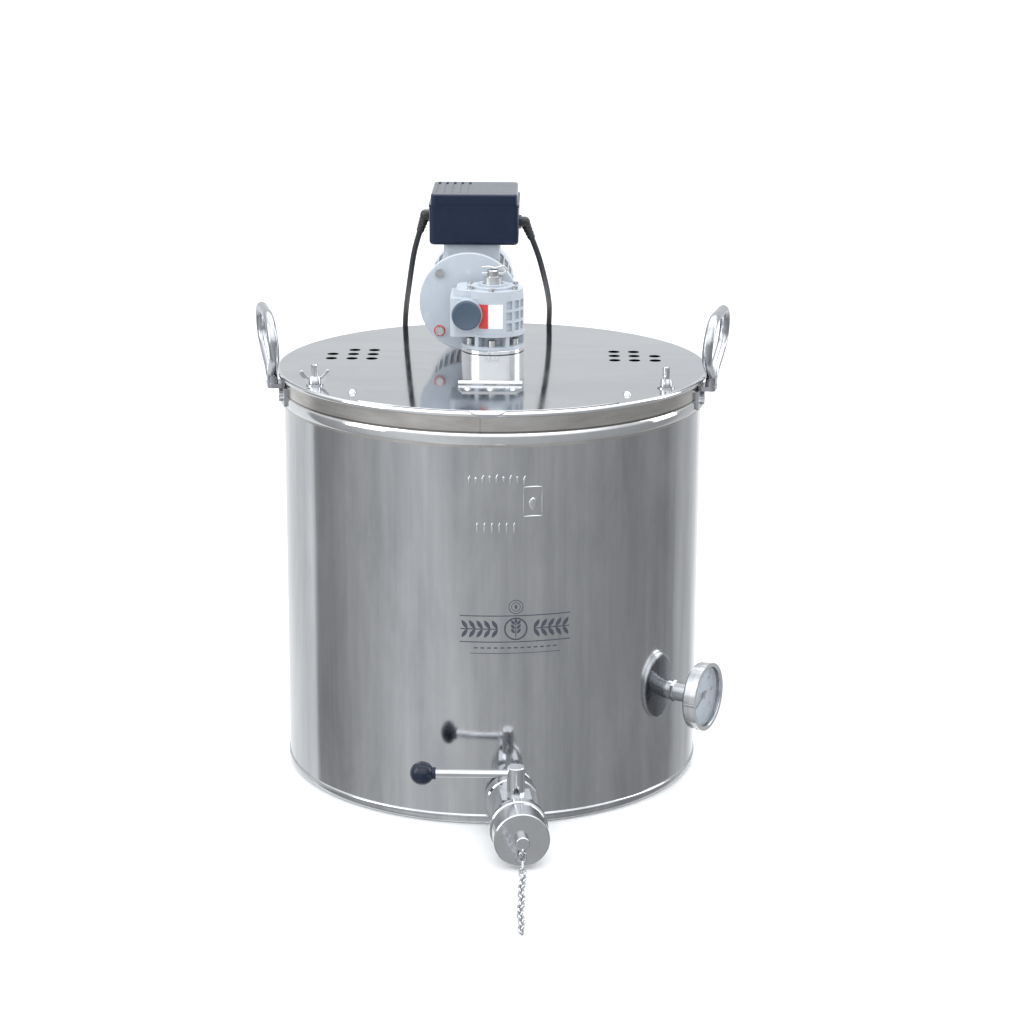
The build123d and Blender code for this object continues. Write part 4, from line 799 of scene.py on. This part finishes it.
def make_dial_graphics():
    """Ticks round the scale, with a heavier one and a figure at every twentieth degree."""
    bm = bmesh.new()
    face = outward(GAUGE_AZ, DIAL_REACH + 0.10 * MM, GAUGE_Z)
    for index in range(DIAL_STEPS + 1):
        a = math.radians(DIAL_START + DIAL_SWEEP * index / DIAL_STEPS)
        every, long, wide = next(tick for tick in TICKS if index % tick[0] == 0)
        middle = DIAL_R - 3.2 * MM - long / 2
        place = (Matrix.Rotation(a, 4, "Z") @ Matrix.Translation((middle, 0, 0))
                 @ Matrix.Diagonal((long, wide, 0.1 * MM, 1)))
        bmesh.ops.create_cube(bm, size=1.0, matrix=place)
        if every == TICKS[0][0]:
            reach = DIAL_R - 13.4 * MM
            figure(str(index * 2), 6.2 * MM, (reach * math.cos(a), reach * math.sin(a)), face,
                   f"dial_figure_{index * 2}", TICK_INK, "pot")
    hoop(bm, (0, 0), DIAL_R - 2.6 * MM, 0.5 * MM, 0.06 * MM, 96)
    piece("dial_ticks", bm, TICK_INK, "pot", place=face)


make_dial_graphics()


# --- small metalwork ----------------------------------------------------------
def make_seam_ring():
    """The spun seam at the foot of the wall."""
    bm = bmesh.new()
    outline = [(-0.6, 8.0), (0.15, 8.4)] + list(arc((0.0, 10.5), 1.5, -60, 60, 6))
    outline += [(0.15, 12.6), (-0.6, 13.0)]
    spun(bm, [(POT_R + r * MM, z * MM) for r, z in outline], 192, closed=True)
    return piece("foot_seam", bm, FINISHES["stainless_body"], "pot")


BEAD_Z, BEAD_HALF, BEAD_PROUD = 459.2, 7.6, 3.2
EDGE_R, EDGE_Z, EDGE_ROLL = 255.5, 488.5, 3.08


def make_beads():
    """The polished bead rolled under the rim band, and the lid's own rolled edge."""
    bm = bmesh.new()
    angles = [math.radians(-90 + 12 * step) for step in range(16)]
    outline = [(POT_R + BEAD_PROUD * math.cos(a) * MM, (BEAD_Z + BEAD_HALF * math.sin(a)) * MM)
               for a in angles]
    spun(bm, outline, 256, closed=True)
    piece("rim_bead", bm, ROLLED_EDGE, "pot", crease=50)
    bm = bmesh.new()
    roll = list(arc((EDGE_R, EDGE_Z), EDGE_ROLL, 0, 360, 28))[:-1]
    spun(bm, [(r * MM, z * MM) for r, z in roll], 256, closed=True)
    piece("lid_rolled_edge", bm, ROLLED_EDGE, "lid", crease=60)


HATCH_LOW, HATCH_T, HATCH_R = 491.6, 1.2, 254.0
HATCH_HALF, HATCH_BACK, HATCH_CORNER = 147.0, -130.0, 17.0
LIP_HALF, LIP_BEND, LIP_T = 21.0, 4.75, 1.1


def finger_lip(bm):
    """A tongue that narrows as it curls over the lid's rolled edge."""
    tongue = bmesh.ops.create_grid(bm, x_segments=24, y_segments=20, size=1.0)["verts"]
    for vert in tongue:
        drop = (vert.co.y + 1) / 2
        half = LIP_HALF * math.sqrt(max(1 - (max(drop - 0.15, 0) / 0.86) ** 2, 0.02))
        a, bend = vert.co.x * half / EDGE_R, math.radians(-30 + 118 * drop)
        reach = EDGE_R + LIP_BEND * math.sin(bend)
        height = HATCH_LOW - 3.6 + LIP_BEND * math.cos(bend) - 13.0 * max(drop - 0.8, 0)
        vert.co = (reach * math.sin(a) * MM, -reach * math.cos(a) * MM, height * MM)
    faces = list(dict.fromkeys(f for v in tongue for f in v.link_faces))
    bmesh.ops.solidify(bm, geom=faces, thickness=LIP_T * MM)


def make_hatch():
    """The thin front door, its upper edges softened, with its finger lip."""
    bm = bmesh.new()
    across, back = HATCH_HALF - HATCH_CORNER, HATCH_BACK - HATCH_CORNER
    side = math.degrees(math.asin(HATCH_HALF / HATCH_R))
    outline = list(arc((across, back), HATCH_CORNER, 0, 90, 8))
    outline += list(arc((-across, back), HATCH_CORNER, 90, 180, 8))
    outline += list(arc((0, 0), HATCH_R, 270 - side, 270 + side, 72))
    face = bm.faces.new([bm.verts.new((x * MM, y * MM, HATCH_LOW * MM)) for x, y in outline])
    grown = bmesh.ops.extrude_face_region(bm, geom=[face])["geom"]
    raised = [v for v in grown if isinstance(v, bmesh.types.BMVert)]
    bmesh.ops.translate(bm, vec=(0, 0, HATCH_T * MM), verts=raised)
    bm.normal_update()
    top = [e for e in bm.edges if all(v.co.z > (HATCH_LOW + 1) * MM for v in e.verts)]
    bmesh.ops.bevel(bm, geom=top, offset=0.35 * MM, segments=2, affect="EDGES", profile=0.5, material=-1)
    finger_lip(bm)
    return piece("hatch_door_sheet", bm, HATCH_STEEL, "hatch_door", ("hatch",), crease=22)


LABEL_R, LABEL_T, LABEL_STEPS = 37.2, 0.25, 8
LABEL_ENDS = (541.5, 570.5)
LABEL_FIELDS = (("label_red_field", RED_INK, -15.5, -5.0), ("label_foil_field", LABEL_FOIL, -4.4, 12.6))


def label_field(left, right):
    """A thin closed patch that follows the housing's round front."""
    bm = bmesh.new()
    grow = (LABEL_R + LABEL_T) / LABEL_R
    for step in range(LABEL_STEPS):
        x0, x1 = (left + (right - left) * (step + k) / LABEL_STEPS for k in (0, 1))
        y0, y1 = (-math.sqrt(LABEL_R ** 2 - x * x) for x in (x0, x1))
        corners = [(x0, y0), (x1, y1), (x1 * grow, y1 * grow), (x0 * grow, y0 * grow)]
        verts = [bm.verts.new((x * MM, y * MM, z * MM)) for z in LABEL_ENDS for x, y in corners]
        sides = [(3, 2, 6, 7), (0, 4, 5, 1), (0, 1, 2, 3), (4, 7, 6, 5)]
        if step == 0:
            sides.append((0, 3, 7, 4))
        if step == LABEL_STEPS - 1:
            sides.append((1, 5, 6, 2))
        for side in sides:
            bm.faces.new([verts[k] for k in side])
    bmesh.ops.remove_doubles(bm, verts=bm.verts, dist=1e-6)
    return bm


def make_label():
    """The plain rating label on the gearbox: a red field and a foil field, no lettering."""
    for name, finish, left, right in LABEL_FIELDS:
        piece(name, label_field(left, right), finish, "lid")


WORM_FACE_Y, FLANGE_FACE_Y = -45.7 * MM, 42.9 * MM
SCREW_CIRCLE_R, PAINTED_SCREW = 50 * MM, 225


def make_worm_plug():
    """Slate-coloured dished plug in the worm's end cap."""
    bm = bmesh.new()
    outline = [(0, 0.5), (13.6, 0.5), (14.4, 0.9)] + list(arc((15.9, 0.4), 0.7, 90, 0, 4))
    outline += [(16.6, -0.9), (0, -0.9)]
    spun(bm, [(r * MM, z * MM) for r, z in outline], 72)
    place = facing((WORM_X, WORM_FACE_Y, WORM_Z), (0, -1, 0))
    return piece("worm_plug", bm, OWN_FINISH["worm_end_cap"], "lid", place=place)


def make_flange_marks():
    """A ring of red thread-lock paint round one flange screw."""
    bm = bmesh.new()
    hoop(bm, (0, 0), 6.3 * MM, 1.3 * MM, 0.15 * MM, 40)
    a = math.radians(PAINTED_SCREW)
    at = (WORM_X + SCREW_CIRCLE_R * math.cos(a), FLANGE_FACE_Y, WORM_Z + SCREW_CIRCLE_R * math.sin(a))
    return piece("locked_screw_paint", bm, RED_INK, "lid", place=facing(at, (0, -1, 0)))


WING_T = 2.6
WING_AT = (0.203, -0.123, LID_TOP + 1.6 * MM)


def make_wing_nut(name, body, side_of_lid, turn, node):
    """A forged wing nut: tapered hub, two swept wings with rounded edges."""
    bm = bmesh.new()
    hub = [(4.08, 0), (7.0, 0), (7.4, 0.5), (6.6, 8.2), (6.0, 9.0), (4.4, 9.0), (4.08, 8.6)]
    spun(bm, [(r * MM, z * MM) for r, z in hub], 48, closed=True)
    for side in (-1, 1):
        outline = [(5.6, 1.4), (9.0, 2.4), (13.4, 6.2), (16.8, 10.6)]
        outline += list(arc((15.2, 13.6), 2.5, -20, 150, 7))
        outline += [(11.0, 11.6), (7.6, 8.4), (5.6, 8.0)]
        verts = [bm.verts.new((side * x * MM, -WING_T / 2 * MM, z * MM)) for x, z in outline]
        face = bm.faces.new(verts)
        pushed = bmesh.ops.extrude_face_region(bm, geom=[face])["geom"]
        moved = [v for v in pushed if isinstance(v, bmesh.types.BMVert)]
        bmesh.ops.translate(bm, vec=(0, WING_T * MM, 0), verts=moved)
        rims = [e for v in verts + moved for e in v.link_edges
                if abs(e.verts[0].co.y - e.verts[1].co.y) < 1e-6 and len(e.link_faces) == 2]
        bmesh.ops.bevel(bm, geom=list(dict.fromkeys(rims)), offset=0.7 * MM, segments=3, affect="EDGES",
                        profile=0.5, material=-1)
    x, y, z = WING_AT
    place = Matrix.Translation((side_of_lid * x, y, z)) @ Matrix.Rotation(math.radians(turn), 4, "Z")
    return piece(name, bm, FINISHES["stainless_small"], body, (node,), place=place)


make_seam_ring()
make_beads()
make_hatch()
make_label()
make_worm_plug()
make_flange_marks()
make_wing_nut("wing_nut_forged_left", "wing_nut_l", -1, 12, "wing_nut_left")
make_wing_nut("wing_nut_forged_right", "wing_nut_r", 1, 82, "wing_nut_right")

# --- finishes of the carried nodes --------------------------------------------
for node_name, node in NODES.items():
    for holder in node.material_slots:
        holder.material = OWN_FINISH.get(node_name) or FINISHES[holder.material.name.split(".")[0]]
